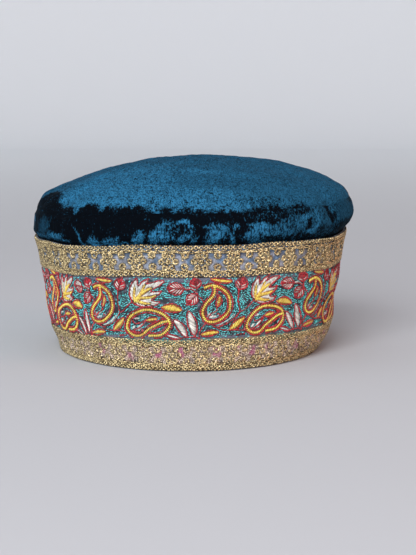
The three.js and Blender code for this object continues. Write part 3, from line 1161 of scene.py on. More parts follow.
def leaf_outline(leaf, margin):
    """The closed line round a leaf, a margin outside it."""
    t = np.linspace(0, 1, max(6, round(leaf_length(leaf) / 1.2)))
    there = leaf_place(leaf, t, 1.0, margin * np.sin(np.pi * t) ** 0.3)
    back = leaf_place(leaf, t[::-1], -1.0, margin * np.sin(np.pi * t) ** 0.3)
    return np.concatenate([there[:-1], back[:-1]])


def leaf_length(leaf):
    """From its base to its tip."""
    return math.hypot(leaf.tip_s - leaf.base_s, leaf.tip_h - leaf.base_h)


def satin(leaf, pitch, slant=0.08):
    """Stitches side by side across a leaf."""
    count = max(3, round(leaf_length(leaf) / pitch))
    t = (np.arange(count) + 0.5) / count
    ends = [leaf_place(leaf, np.clip(t + side * slant, 0, 1), side) for side in (1.0, -1.0)]
    return np.hstack(ends)


def veins(leaf, pitch, reach=0.3):
    """Stitches that fan out from the middle of a bud, each side from its base to its tip."""
    count = max(4, round(leaf_length(leaf) / pitch))
    t = (np.arange(count) + 0.3) / count
    sides = []
    for side in (1.0, -1.0):
        inner = leaf_place(leaf, t * 0.85, side * 0.05)
        outer = leaf_place(leaf, np.clip(t + reach, 0, 0.97), side)
        sides.append(np.hstack([inner, outer]))
    return sides


def ribbed(points, width, pitch):
    """Stitches across a curved rib that thins towards its far end."""
    line = smooth(points, step=pitch)
    thin = width / 2 * (1 - np.linspace(0, 1, len(line)) ** 3 * 0.6)
    run = np.gradient(line, axis=0)
    run /= np.hypot(*run.T)[:, None]
    slanted = thin[:, None] * (np.stack([-run[:, 1], run[:, 0]], -1) + 0.35 * run)
    return np.hstack([line + slanted, line - slanted])


def inside(places, outline):
    """Whether each place is inside a closed outline."""
    x, y = places.T[:, :, None]
    (x1, y1), (x2, y2) = outline.T[:, None, :], np.roll(outline, -1, axis=0).T[:, None, :]
    crosses = (y1 > y) != (y2 > y)
    meets = x1 + (x2 - x1) * (y - y1) / np.where(y1 == y2, 1e-9, y2 - y1)
    return (crosses & (x < meets)).sum(-1) % 2 == 1


def nearest(places, targets):
    """The distance from each place to the nearest target, and which target that is."""
    tree = KDTree(len(targets))
    for i, (x, y) in enumerate(targets):
        tree.insert((x, y, 0), i)
    tree.balance()
    found = np.array([tree.find((x, y, 0))[1:] for x, y in places])
    return found[:, 1], found[:, 0].astype(int)


def spread_from(heart, outline, ribs, pitch, size):
    """Stitches that fill an outline, all running away from its heart, clear of its ribs."""
    places = []
    for ring, reach in enumerate(np.arange(size / 2, 30.0, size * 0.62)):
        count = round(2 * math.pi * reach / pitch)
        angle = (np.arange(count) + 0.5 * (ring % 2)) * 2 * math.pi / count
        places.append(np.array(heart) + reach * np.stack([np.cos(angle), np.sin(angle)], -1))
    places = np.concatenate(places)
    away = unit(places - np.array(heart)) * size / 2
    fits = inside(places, outline) & (nearest(places, ribs)[0] > 1.0)
    for end in (-0.6, 0.6):
        fits &= inside(places + end * away, outline)
    return np.hstack([places - away, places + away])[fits]


def long_parts(kept):
    """The stretches of kept points in a line that are long enough to stitch."""
    ends = np.where(np.diff(kept.astype(int)))[0] + 1
    for part in np.split(np.arange(len(kept)), ends):
        if kept[part[0]] and len(part) > 3:
            yield part


Chart = namedtuple("Chart", "ropes outlines yellow white red pale covered")


@lru_cache(maxsize=None)
def chart(rope_width, pitch):
    """One repeat of the embroidery: rope and outline lines, the stitches laid in each colour,
    and the closed shapes that cover the ground."""
    ropes = [smooth(LYING_PAISLEY), smooth(TALL_PAISLEY)]
    outlines = []
    reach = rope_width / 2 + OUTLINE_GAP
    for rope in ropes:
        for side in (reach, -reach):
            line = beside(rope, side)
            clear = nearest(line, rope)[0] > reach - 0.14
            outlines += [(line[part], False) for part in long_parts(clear)]
    flower = np.concatenate([smooth(part)[:-1] for part in FLOWER])
    outlines.append((flower, True))
    yellow, white, red, pale = [], [], [], []
    for leaf in YELLOW_LEAVES:
        yellow.append(satin(leaf, pitch))
        outlines.append((leaf_outline(leaf, OUTLINE_GAP), True))
    for leaf in WHITE_LEAVES:
        white.append(satin(leaf._replace(width=leaf.width - 1.4), pitch * 0.85, 0.12))
        outlines.append((leaf_outline(leaf, 0.15), True))
    for leaf in PETALS:
        white.append(satin(leaf, pitch, 0.15))
    for leaf in RED_PETALS:
        red.append(satin(leaf, pitch, 0.15))
    for bud in BUDS:
        for side in veins(bud.leaf, VEIN_PITCH):
            red.append(side)
            pale.append(side[1 : round(len(side) * bud.striped) : 2])
        outlines.append((leaf_outline(bud.leaf, 0.1), True))
        outlines.append((leaf_place(bud.leaf, np.linspace(0, 0.8, 8), 0.0), False))
    ribs = np.concatenate([smooth(points) for points in FLOWER_RIBS])
    yellow += [ribbed(points, RIB_WIDTH, pitch) for points in FLOWER_RIBS]
    white.append(spread_from(FLOWER_HEART, flower, ribs, PETAL_PITCH, PETAL_STITCH))
    white += [ribbed(points, LINE_WIDTH, pitch) for points in WHITE_LINES]
    outlines += [(smooth(points), False) for points in RED_LINES]
    filled = YELLOW_LEAVES + WHITE_LEAVES + tuple(bud.leaf for bud in BUDS)
    covered = [flower] + [leaf_outline(leaf, 0.2) for leaf in filled]
    return Chart(ropes, outlines, *map(np.concatenate, (yellow, white, red, pale)), covered)


def drift(s, height):
    """How far the hand-guided stitching strays, along the ribbon and up it."""
    place = column(STRAYS, "s")
    low, high, up = (glide(s, place, column(STRAYS, name)) for name in Stray._fields[1:])
    share = np.clip((height - 30) / 10, 0, 1)
    along = low + (high - low) * share + 0.25 * lumps_at(s, height, 6.0, 51)
    return np.stack([along, up + 0.25 * lumps_at(s, height, 6.0, 52)], -1)


def on_ribbon(s, height, margin=0.3):
    """Whether places are on the bare ribbon, or up to a margin under the laces."""
    low, high = LOWER_SEAM - margin, UPPER_SEAM + margin
    return (np.abs(s) < ROUND / 2 - JOIN) & (height > low) & (height < high)


def all_round(places):
    """One repeat's places, for each repeat round the ribbon, strayed as the hand strays."""
    for k in range(-5, 6):
        moved = places + np.array([k * REPEAT, 0.0])
        yield moved + drift(*moved.T)


def lines_round(lines):
    """Drawn lines repeated round the ribbon, cut where they leave it."""
    made = []
    for points, closed in lines:
        for moved in all_round(points):
            kept = on_ribbon(*moved.T)
            if kept.all():
                made.append((moved, closed))
                continue
            if closed:
                moved, kept = np.concatenate([moved, moved[:1]]), np.append(kept, kept[0])
            made += [(moved[part], False) for part in long_parts(kept)]
    return made


def stitches_round(stitches):
    """Laid stitches repeated round the ribbon."""
    made = []
    for starts, ends in zip(all_round(stitches[:, :2]), all_round(stitches[:, 2:])):
        size = np.hypot(*(ends - starts).T)
        fits = (size > SHORTEST) & (size < LONGEST)
        kept = on_ribbon(*starts.T) & on_ribbon(*ends.T) & fits
        made.append(np.hstack([starts, ends])[kept])
    return np.concatenate(made)


def ground(s, height, rope_width, pitch):
    """From 0 under the motifs to 1 where the ground is open, with the way the ground's stitches
    run: along the ropes and outlines near by, and along the ribbon elsewhere."""
    drawn = chart(rope_width, pitch)
    here = np.stack([s, height], -1)
    places = here
    for _ in range(3):
        places = here - drift(*places.T)
    bare = np.ones(len(places))
    for outline in drawn.covered:
        middle = outline.mean(0)
        local = places.copy()
        local[:, 0] = wrap(places[:, 0] - middle[0], REPEAT) + middle[0]
        bare[inside(local, outline[::2])] = 0
    local = np.stack([wrap(places[:, 0], REPEAT), places[:, 1]], -1)
    bare[nearest(local, tiled(drawn.ropes)[0])[0] < rope_width / 2 + 0.3] = 0
    samples, runs = tiled([line for line, _ in drawn.outlines])
    distance, which = nearest(local, samples)
    sway = 0.6 * lumps_at(s, height, 9.0, 61) + 0.35 * lumps_at(s, height, 4.0, 62)
    free = np.stack([np.cos(sway), np.sin(sway)], -1)
    follow = np.exp(-((distance / 3.2) ** 2))[:, None]
    along = runs[which] * np.sign((runs[which] * free).sum(-1) + 1e-9)[:, None]
    return bare, unit(free * (1 - follow) + along * follow)


def tiled(lines):
    """The points of drawn lines in three repeats side by side, and the way they run."""
    samples = np.concatenate(lines)
    runs = np.concatenate([unit(np.gradient(line, axis=0)) for line in lines])
    repeats = [samples + np.array([k * REPEAT, 0]) for k in (-1, 0, 1)]
    return np.concatenate(repeats), np.tile(runs, (len(repeats), 1))


# ---- Velvet -----------------------------------------------------

# Patches of pile: the place across and along the cloth, how far each reaches either way, how it leans,
# how far its pile lies over and how evenly. How far the pile lies over is painted as shade or sheen, so
# a patch is painted shade where its pile stands and a painted sheen where it lies over. Each is laid
# over the ones before it.
Patch = namedtuple("Patch", "across along wide tall lean shine calm")

# On the side wall the place is measured along the ribbon and over the rim.
SIDE_PATCHES = table(
    Patch,
    (-105, 80.5, 12, 7, 0.4, 0.47, 0.9), (-108, 73.0, 14, 2.2, 0, 0.62, 0.3),
    (-89, 74.5, 8, 3.0, 0.5, 0.70, 0.1), (-79, 72.2, 5, 1.6, 0, 0.72, 0.0),
    (-71, 81.0, 0.7, 3.4, -0.8, 0.60, 0.6), (-67.4, 76.6, 1.1, 2.8, -0.8, 0.72, 0.4),
    (-65.5, 73.6, 1.1, 2.4, 0, 0.78, 0.2), (-48, 71.4, 16, 1.4, 0, 0.62, 0.0),
    (-56, 72.8, 4, 2.8, 0, 0.70, 0.0), (-45, 73.0, 3.4, 2.6, 0.2, 0.70, 0.0),
    (-40.5, 73.6, 0.9, 2.8, 0, 0.62, 0.0), (-29.0, 75.0, 3.0, 4.2, 0, 0.76, 0.0),
    (-17, 75.0, 6.8, 5.0, 0.3, 0.71, 0.0), (-17.6, 79.6, 4.4, 4.6, 0.8, 0.70, 0.0),
    (-12.6, 82.0, 2.8, 4.2, 0.2, 0.70, 0.0), (-14.0, 80.6, 0.9, 2.2, 0.2, 0.05, 0.2),
    (-5.0, 79.0, 6.0, 6.4, 0, 0.20, 0.0), (-5.4, 83.8, 4.0, 1.4, 0, 0.66, 0.0),
    (-2.4, 79.6, 1.3, 5.6, -0.1, 0.76, 0.0), (-5.6, 74.4, 3.0, 3.0, 0, 0.62, 0.0),
    (1.0, 73.6, 1.6, 3.0, -0.2, 0.60, 0.0), (5.3, 81.6, 1.8, 0.9, 0, 0.75, 0.0),
    (12.6, 77.2, 6.6, 6.6, 0.1, 0.72, 0.0), (16.8, 72.2, 3.2, 2.0, 0, 0.05, 0.2),
    (21.0, 78.0, 1.1, 4.8, 0.1, 0.78, 0.0), (22.6, 73.6, 1.8, 3.2, -0.5, 0.72, 0.0),
    (84, 83.0, 20, 13, 0, 0.56, 0.6), (112, 85.0, 16, 11, 0, 0.56, 0.8),
    (60, 82.0, 15, 10, 0, 0.58, 0.45), (44, 76.0, 16, 6, 0, 0.64, 0.3),
    (34, 78.0, 7, 5.2, 0, 0.76, 0.1), (45, 72.8, 7, 1.8, 0.5, 0.22, 0.3),
    (58, 73.2, 6, 1.9, 0.5, 0.18, 0.3), (38, 86.4, 16, 3.0, 0, 0.12, 0.2),
    (67.2, 79.2, 1.5, 4.2, 0.3, 0.0, 0.2), (73.0, 79.5, 1.1, 7.5, 0.1, 0.82, 0.1),
    (82, 75.5, 5, 3.0, -0.7, 0.34, 0.4), (106, 76.0, 16, 3.6, -0.3, 0.26, 0.6),
    (71.0, 74.6, 5.0, 1.6, -0.5, 0.86, 0.1), (70.5, 72.0, 2.4, 1.3, 0, 0.05, 0.2),
    (64.5, 84.2, 3.4, 1.4, -0.4, 0.88, 0.1), (62, 87.3, 7, 1.3, 0, 0.12, 0.2),
    (90, 84.8, 3.0, 5.2, -0.5, 0.14, 0.5), (138, 80, 15, 8, 0.2, 0.66, 0.6),
    (165, 75.5, 13, 4.5, 0.6, 0.82, 0.0), (171, 83.0, 6, 4.0, -0.8, 0.76, 0.1),
    (196, 77.0, 16, 5.5, -0.5, 0.76, 0.2), (187, 79.0, 2.4, 9.0, 0.7, 0.04, 0.2),
    (213, 84.5, 11, 3.2, 0, 0.68, 0.3), (233, 75.0, 17, 4.0, 0.8, 0.78, 0.0),
    (229, 81.0, 6, 5.0, -0.6, 0.82, 0.1), (254, 83.0, 8, 4.6, 0.5, 0.72, 0.3),
    (281, 77.0, 20, 5.2, 0.3, 0.76, 0.2), (272, 75.0, 2.0, 6.0, -0.5, 0.05, 0.2),
    (-268, 83.0, 9, 4.0, -0.5, 0.78, 0.1), (-252, 74.0, 13, 2.8, 0, 0.70, 0.0),
    (-235, 79.5, 11, 6.4, 0.7, 0.80, 0.2), (-221, 84.0, 9, 3.0, -0.3, 0.68, 0.2),
    (-204, 75.0, 14, 3.6, 0.5, 0.82, 0.0), (-186, 80.0, 5, 7.0, -0.9, 0.78, 0.1),
    (-171, 77.0, 10, 5.0, 0.3, 0.70, 0.4), (-146, 76.0, 14, 5.0, 0.5, 0.74, 0.1),
    (-131, 82.5, 6, 3.6, -0.5, 0.68, 0.3),
)

# On the top it is measured to the right and to the back, in the cap's own frame.
TOP_PATCHES = table(
    Patch,
    (60, -30, 48, 60, 0, 0.66, 0.66), (-46, -58, 34, 34, 0, 0.83, 0.25),
    (2, -90, 42, 13, 0, 0.80, 0.15), (3, -53, 11, 4.5, -0.4, 0.86, 0.4),
    (-30, -40, 14, 5, -0.6, 0.84, 0.4), (46, -82, 16, 7, 0.4, 0.56, 0.4),
    (-40, 55, 34, 30, 0, 0.78, 0.3), (20, 80, 26, 10, 0, 0.80, 0.2),
    (70, 40, 16, 22, 0, 0.74, 0.4),
)

# Painted shade along the crown seam, where the pile of the top stands on end as the dome turns down:
# the place along the ribbon, and the share of the radius that turns black.
ShoulderShade = namedtuple("ShoulderShade", "s share")
SHOULDER_SHADE = table(
    ShoulderShade,
    (-292, 0.03), (-250, 0.05), (-215, 0.01), (-165, 0.03), (-138, 0.03), (-130, 0.04),
    (-125, 0.065), (-119, 0.115), (-112, 0.12), (-105, 0.10), (-96, 0.056), (-90, 0.032),
    (-80, 0.028), (-72, 0.014), (-65, 0.036), (-59, 0.038), (-52, 0.011), (-49, 0.036),
    (-44, 0.03), (-37, 0.025), (-30, 0.02), (-25, 0.006), (-18, 0.003), (-12, 0.010),
    (-7, 0.003), (-3, 0.013), (2, 0.008), (10, 0.004), (24, 0.004), (34, 0.0025),
    (50, 0.0025), (62, 0.004), (72, 0.002), (84, -0.005), (132, 0.0), (150, 0.03),
    (190, 0.045), (230, 0.012), (260, 0.05), (292, 0.03),
)

TOP_COLUMNS, SIDE_COLUMNS = 400, 480  # of the velvet's meshes, once round the cap
TOP_INSET, TOP_LIFT = 0.05, 0.06  # they keep the top clear of the side wall at the crown seam
SEAM_GAP = 0.06  # below the crown seam, where the side wall ends
CRUSH_SEED = 31
Crease = namedtuple("Crease", "size depth")
CREASES = (Crease(9.0, 1.0), Crease(4.3, 0.6), Crease(2.1, 0.35))


def lay_over(patches, across, along, pile, calm):
    """How far the pile lies over, from 0 to 1, painted by the velvet as shade or sheen, and how evenly,
    with the patches laid on.
    """
    pile, calm = np.full(np.shape(across), pile), np.full(np.shape(across), calm)
    bent = [
        lumps_at(across, along, 5.0, seed) + 0.5 * lumps_at(across, along, 2.4, seed)
        for seed in (51, 53)
    ]
    across, along = across + 1.5 * bent[0], along + 1.2 * bent[1]
    for patch in patches:
        above = along - patch.along
        aside = wrap(across - patch.across) - patch.lean * above
        reach = (np.abs(aside) / patch.wide) ** 3 + (np.abs(above) / patch.tall) ** 3
        cover = np.exp(-(reach**1.5))
        pile += (patch.shine - pile) * cover
        calm += (patch.calm - calm) * cover
    return pile, calm


def crushed(grid, depth):
    """Presses the crushed relief of the pile into a grid of velvet."""
    relief = sum(
        crease.depth * lumps(grid, crease.size, CRUSH_SEED + k) for k, crease in enumerate(CREASES)
    )
    return grid + grid_normals(grid) * (relief * depth)[..., None]


def dress_velvet(mesh, first_outside):
    """Velvet on the outside of a crown piece, plain backing cloth on its inside."""
    for name, maker in (("velvet pile", velvet_pile), ("backing cloth", backing_cloth)):
        mesh.materials.append(made_once(bpy.data.materials, name, maker))
    corners, starts = np.zeros(len(mesh.loops), int), np.zeros(len(mesh.polygons), int)
    mesh.loops.foreach_get("vertex_index", corners)
    mesh.polygons.foreach_get("loop_start", starts)
    inner = np.add.reduceat((corners < first_outside).astype(int), starts)
    counts = np.diff(np.append(starts, len(corners)))
    mesh.polygons.foreach_set("material_index", (2 * inner > counts).astype(np.int32))


def set_pile(mesh, hidden, stretch, pile, calm):
    """Stores the pile on a velvet mesh whose first points are hidden inside, and the place that
    its pattern follows: the cap's own, drawn out along the way that the pile was combed."""
    poles = len(mesh.vertices) > hidden + pile.size
    for name, values in (("pile", pile), ("calm", calm)):
        at_poles = [0.0, values[-1].mean()] if poles else []
        set_values(mesh, name, np.concatenate([np.zeros(hidden), values.ravel(), at_poles]))
    places = np.zeros(3 * len(mesh.vertices))
    mesh.vertices.foreach_get("co", places)
    set_values(mesh, "nap", places.reshape(-1, 3) * np.array(stretch))


def velvet_piece(node, grid, s, back_rows, stretch, pile, calm, poles=False):
    """A piece of the crown from rows of points, the first of them hidden on its inside."""
    name = f"{node}_velvet"
    mesh, hidden = woven(name, grid, s, poles), back_rows * len(s)
    set_pile(mesh, hidden, stretch, pile, calm)
    dress_velvet(mesh, hidden)
    return settle(add_object(name, mesh), "velvet", node)


def dome_rows(first, last, count):
    """Shares of the dome's radius for the rows of its mesh, closest together at its edge."""
    return np.sin(np.linspace(first, last, count) * np.pi / 2)[:, None]


def shoulder_shade_at(s, share):
    """Where the top's pile stands on end and is painted in shade, and where it is uneven beside that,
    from 0 to 1.
    """
    shade_reach = glide(s, column(SHOULDER_SHADE, "s"), column(SHOULDER_SHADE, "share"))
    out_from_middle = 90 * share
    tufts = 0.012 * lumps_at(s, out_from_middle, 5.0, 41)
    tufts = tufts + 0.010 * lumps_at(s, out_from_middle, 2.2, 42)
    ragged = np.clip(shade_reach / 0.004, 0, 1)
    in_shade = np.clip((share + shade_reach + tufts * ragged - 1) / 0.02 + 0.5 * ragged, 0, 1)
    uneven = np.clip((share + shade_reach + 0.05 - 1) / 0.05, 0, 1) * np.clip(shade_reach / 0.01, 0, 1)
    return in_shade, uneven


def build_crown_top(sizes):
    """The domed top, closed on a point outside and inside, resting on the side wall."""
    s = columns_round(TOP_COLUMNS)
    turn = turn_of(s)[None, :]
    face = np.concatenate([[[1.0], [0.999995]], dome_rows(0.985, 0.012, 62)])
    back = dome_rows(0.03, 1.0, 12)
    relief = sizes.crush_depth / MM * np.clip((1 - face) / 0.03, 0.3, 1)
    outside = crushed(press_folds(dome(turn, face, TOP_INSET)), relief)
    grid = np.concatenate([press_folds(dome(turn, back, VELVET)), outside])
    grid[..., 2] += TOP_LIFT
    # Painted sheen: the top's pile starts well over, so the dome is painted bright where light falls on
    # it.
    pile, calm = lay_over(TOP_PATCHES, outside[..., 0], outside[..., 1], 0.655, 0.58)
    pile += 0.05 * lumps(outside, 26.0, 5)
    in_shade, uneven = shoulder_shade_at(s[None, :], face)
    # Painted shade: the pile turns black along the crown seam.
    pile += (-0.1 - pile) * in_shade
    calm += (0.1 - calm) * uneven
    stretch = (1, 0.4, 1)
    piece = velvet_piece("crown_top", grid, s, len(back), stretch, pile, calm, poles=True)


def bulge_at(height):
    """How far the bare velvet bulges out from the wall at each height."""
    bulge = glide(height, column(BULGE, "height"), column(BULGE, "out"))
    return np.where(height > LACE_TOP, bulge, 0)


def build_crown_side(sizes):
    """The side wall, behind the trims and out over the upper lace, up to the crown seam."""
    s = columns_round(SIDE_COLUMNS)
    hidden = np.array([0.0, 0.6, 9.0, LOWER_SEAM, 30.0, 46.0, UPPER_SEAM, 62.0])
    shown = np.linspace(LACE_TOP - 1.0, CROWN_SEAM - 0.1, 30)
    shown = np.append(shown, CROWN_SEAM - SEAM_GAP)
    face = np.concatenate([hidden, shown])
    outside = wall(s[None, :], face[:, None], bulge_at(face)[:, None])
    relief = sizes.crush_depth / MM * np.clip((CROWN_SEAM - shown) / 3, 0.3, 1)[:, None]
    outside[len(hidden) :] = crushed(outside[len(hidden) :], relief)
    back = np.array([86, 82, 77, 73, LACE_TOP, 62, UPPER_SEAM, 40, 24, LOWER_SEAM, 9, 0.6, 0])
    back = np.append(CROWN_SEAM - SEAM_GAP, back)
    inset = bulge_at(back) - np.where(back > 0, VELVET, VELVET - 0.5)
    lining = wall(s[None, :], back[:, None], inset[:, None])
    grid = press_folds(np.concatenate([lining, outside]))
    places = np.broadcast_arrays(s[None, :], face[:, None])
    # Painted shade: the side wall's pile starts below 0, so the wall is painted near black where it
    # faces the view.
    pile, calm = lay_over(SIDE_PATCHES, *places, -0.15, 0.2)
    piece = velvet_piece("crown_side", grid, s, len(back), (1, 1, 0.5), pile, calm)


HEM_COUNT, HEM_HEIGHT, HEM_STITCH = 150, 5.0, 2.4  # stitches, height over the rim, and length


def build_hem():
    """Running stitches that hold the velvet's turned hem, on the inside just over the rim."""
    starts = np.stack([columns_round(HEM_COUNT), np.full(HEM_COUNT, HEM_HEIGHT)], -1)
    stitches = np.hstack([starts, starts + np.array([HEM_STITCH, 0.0])])
    hem = stitch(
        "hem_stitches", laid_mesh("hem", stitches, -VELVET - 0.05), "Laid stitches", "backing thread",
        Length=HEM_STITCH * MM, Width=0.7 * MM, Height=-0.15 * MM, Seed=31,
    )
    settle(hem, "velvet", "crown_side")


# ---- Ribbon and embroidery --------------------------------------

RIBBON_COLUMNS, RIBBON_ROWS = 760, 36
LILAC_FROM, LILAC_UP_TO = UPPER_SEAM - 3.4, LOWER_SEAM + 2.0  # where its lilac edges begin
PLAIN = {"Steps": 2, "Sides": 3}  # few faces, for the stitches that there are thousands of


def bare_ground(s, height, drawn_bare):
    """How thickly the ground is stitched: thinner at the edges, and in places elsewhere."""
    upper = np.clip((height - LILAC_FROM) / 3.0, 0, 1)
    lower = np.clip((LILAC_UP_TO - height) / 2.0, 0, 1)
    thin = np.clip(1.2 - 1.3 * np.maximum(lumps_at(s, height, 6.5, 61), 0), 0.5, 1)
    bare = drawn_bare * on_ribbon(s, height, 0.4) * (1 - 0.5 * upper - 0.55 * lower) * thin
    return bare, np.maximum(upper, lower)


def build_ribbon(sizes):
    """The ribbon's net ground, and the seed stitches wherever no motif covers it."""
    s = columns_round(RIBBON_COLUMNS)
    low, high = LOWER_SEAM - TUCK, UPPER_SEAM + TUCK
    back, face = [high, (low + high) / 2, low], np.linspace(low, high, RIBBON_ROWS)
    rows = np.concatenate([back, face])
    far = np.concatenate([np.full(len(back), RIBBON_BACK), np.full(len(face), RIBBON_FACE)])
    places = np.broadcast_arrays(s[None, :], rows[:, None], far[:, None])
    mesh = woven("ribbon", wall(*places), s)
    s_all, height, far_all = (v.ravel() for v in places)
    drawn_bare, flow = ground(s_all, height, sizes.rope_width / MM, sizes.leaf_pitch / MM)
    bare, edge = bare_ground(s_all, height, drawn_bare)
    along, up, outward = wall_axes(s_all, height, far_all)
    set_values(mesh, "bare", bare * (far_all > RIBBON_BACK))
    set_values(mesh, "edge", edge)
    set_values(mesh, "outward", outward)
    set_values(mesh, "flow", along * flow[:, :1] + up * flow[:, 1:])
    mesh.materials.append(ribbon_cloth("ribbon cloth"))
    seeds = stitch(
        "seed_stitches", mesh.copy(), "Seed stitches", "teal silk", **PLAIN,
        Length=sizes.seed_stitch, Width=0.78 * MM, Height=0.2 * MM,
        Unevenness=0.25, Least_Gap=sizes.seed_gap, Seed=5,
    )
    settle(seeds, "embroidery", "embroidered_band")
    settle(add_object("ribbon", mesh), "embroidery", "embroidered_band")


# The pieces in laid stitches: the colour of the chart that they show, and their thread.
Laid = namedtuple("Laid", "name part width height thread")
LAID = table(
    Laid,
    ("yellow_leaves", "yellow", 0.98, 0.5, "yellow silk"),
    ("white_leaves", "white", 1.1, 0.16, "white silk"),
    ("red_petals", "red", 0.98, 0.2, "red silk"),
    ("pale_stripes", "pale", 0.75, 0.5, "white silk"),
)


def join_line():
    """The line of the ribbon's join, up the back."""
    height = np.linspace(LOWER_SEAM + 0.5, UPPER_SEAM - 0.5, 30)
    return np.stack([np.full(len(height), ROUND / 2), height], -1)


def build_embroidery(sizes):
    """The motifs in satin, laid and outline stitches, and the ribbon's join at the back."""
    drawn = chart(sizes.rope_width / MM, sizes.leaf_pitch / MM)
    rope_lines = lines_round([(rope, False) for rope in drawn.ropes])
    ropes = line_mesh("ropes", rope_lines, RIBBON_FACE + 0.1)
    outlines = line_mesh("outlines", lines_round(drawn.outlines), RIBBON_FACE + 0.5)
    join = line_mesh("join", [(join_line(), False)], RIBBON_FACE + 0.1)
    pieces = [
        stitch(
            "satin_ropes", ropes, "Stitches along lines", "yellow silk",
            Length=sizes.rope_width, Width=0.95 * MM, Height=0.75 * MM,
            Slant=math.pi / 2 - 0.3, Unevenness=0.06, Pitch=sizes.satin_pitch, Seed=11,
        ),
        stitch(
            "red_outlines", outlines, "Stitches along lines", "red silk", **PLAIN,
            Length=sizes.outline_stitch, Width=sizes.outline_thread, Height=0.25 * MM,
            Slant=0.25, Unevenness=0.16, Pitch=sizes.outline_stitch * 0.92, Seed=12,
        ),
        stitch(
            "join_stitches", join, "Stitches along lines", "teal silk",
            Length=3.2 * MM, Width=0.8 * MM, Height=0.4 * MM,
            Slant=math.pi / 2 - 0.5, Unevenness=0.1, Pitch=1.9 * MM, Seed=14,
        ),
    ]
    for laid in LAID:
        stitches = stitches_round(getattr(drawn, laid.part))
        pieces.append(
            stitch(
                laid.name, laid_mesh(laid.name, stitches, RIBBON_FACE + 0.12), "Laid stitches",
                laid.thread, Length=2.0 * MM, Width=laid.width * MM, Height=laid.height * MM,
                Unevenness=0.05, Sides=3, Seed=13,
            )
        )
    for piece in pieces:
        settle(piece, "embroidery", "embroidered_band")
    pieces.append(bpy.data.objects["seed_stitches"])


# ---- Laces ------------------------------------------------------

LACE_WIDTH = 18.3
LACE_COLUMNS = 420
FIRST_ROSETTE = 5.4  # its place along the laces
ROSETTE_LINE, WHEEL_LINES = 8.9, (5.9, 12.5)  # across the lace, for the rosettes and small wheels
PETAL_COUNT, PETAL_REACH = 6, 3.9  # of a rosette, and how far out their middles are
PETAL, HEART, WHEEL = 1.25, 1.0, 1.6  # radii of its loops, and of the small wheels
RING_LINE, RING, OUTER_RING = 1.55, 0.92, 0.95  # the inner row of rings, and radii of both rows
RINGS_TO_A_ROSETTE = 20 / 3
NET_OPEN = (4.2, 13.6)  # across the lace, between the rows of rings

# A lace: the height of its inner edge, and whether it runs up or down from there. Its inner edge
# wanders by some whole waves round the cap, and its outer one keeps a share of that.
Lace = namedtuple("Lace", "edge way waves sway phase drop kept outer_rings worn filling odd")
LACES = {
    "upper": Lace(
        edge=UPPER_SEAM + 0.2, way=1, waves=3, sway=0.45, phase=0.65, drop=0.6, kept=0.85,
        outer_rings=16.85, worn=False, filling="gold thread", odd=0,
    ),
    "lower": Lace(
        edge=LOWER_SEAM - 0.2, way=-1, waves=6, sway=0.5, phase=math.pi / 2, drop=0.0, kept=0.0,
        outer_rings=16.35, worn=True, filling="rose thread", odd=1,
    ),
}

# The net's section, from its inner edge along its back, round its outer edge and back along its
# face: across the lace, and out from the velvet wall.
Turn = namedtuple("Turn", "across out_from_wall")
NET_SECTION = (
    Turn(0, NET_BACK),
    Turn(9, NET_BACK),
    Turn(16.6, NET_BACK),
    Turn(17.3, 0.9),
    Turn(17.9, 0.35),
    Turn(17.9, 1.3),
    Turn(17.6, 1.7),
) + tuple(Turn(across, NET_FACE) for across in (17, 15, 14, 13, 11, 9, 7, 5, 4, 3, 2, 1, 0))

# The wavy lines that border the rings: across the lace, size, and how many waves to a rosette.
Border = namedtuple("Border", "across size waves")
BORDERS = (Border(3.0, 0.3, 4), Border(3.8, 0.25, 3), Border(14.9, 0.3, 4), Border(14.1, 0.25, 3))

# Where a lace laps over itself and is filled more: the place along it, and how thickly.
Lap = namedtuple("Lap", "s filled")
LAPS = (Lap(92, 1.0), Lap(-97, 0.5))

# Dyed patches of the lower lace: place along it, height and size.
Stain = namedtuple("Stain", "s height size")
STAINS = table(
    Stain,
    (-61.0, 12.3, 1.5), (-59.3, 9.2, 1.6), (-39.8, 8.2, 1.6), (-38.0, 6.2, 1.2),
    (-30.0, 12.3, 1.1), (-19.6, 11.8, 1.3), (-21.0, 9.0, 1.9), (-7.2, 11.8, 2.1),
    (-5.9, 9.2, 1.3), (12.7, 12.8, 1.1), (14.2, 10.4, 2.2), (16.6, 9.8, 1.2),
    (27.5, 14.0, 1.1), (37.9, 12.2, 1.4), (37.5, 9.6, 2.1), (48.0, 12.0, 1.9),
    (58.0, 13.0, 1.2), (70.0, 11.2, 1.8), (73.5, 9.4, 1.8),
    *((92 + 17.5 * k, 10.5 + 1.5 * math.sin(2.4 * k), 1.7) for k in range(23)),
)


def round_loops(centres, radius, points):
    """Closed round loops about each centre."""
    angle = np.arange(points) * 2 * math.pi / points
    loop = radius * np.stack([np.cos(angle), np.sin(angle)], -1)
    return [(centre + loop, True) for centre in centres]


def along_lace(count, across, shift=0.0):
    """Evenly spaced places along a lace."""
    s = wrap(FIRST_ROSETTE + (np.arange(count) + shift) * ROUND / count)
    return np.stack([s, np.full(count, across)], -1)


def lace_wheels(rosettes):
    """Loops that are filled as wheels: rosettes of six petals, with two small wheels between."""
    hearts = along_lace(rosettes, ROSETTE_LINE)
    spokes = [
        PETAL_REACH * np.array([math.cos(a), math.sin(a)])
        for a in np.arange(PETAL_COUNT) * 2 * math.pi / PETAL_COUNT
    ]
    petals = [heart + spoke for heart in hearts for spoke in spokes]
    loops = round_loops(petals, PETAL, 10) + round_loops(hearts, HEART, 8)
    for line in WHEEL_LINES:
        loops += round_loops(along_lace(rosettes, line, 0.5), WHEEL, 10)
    return loops


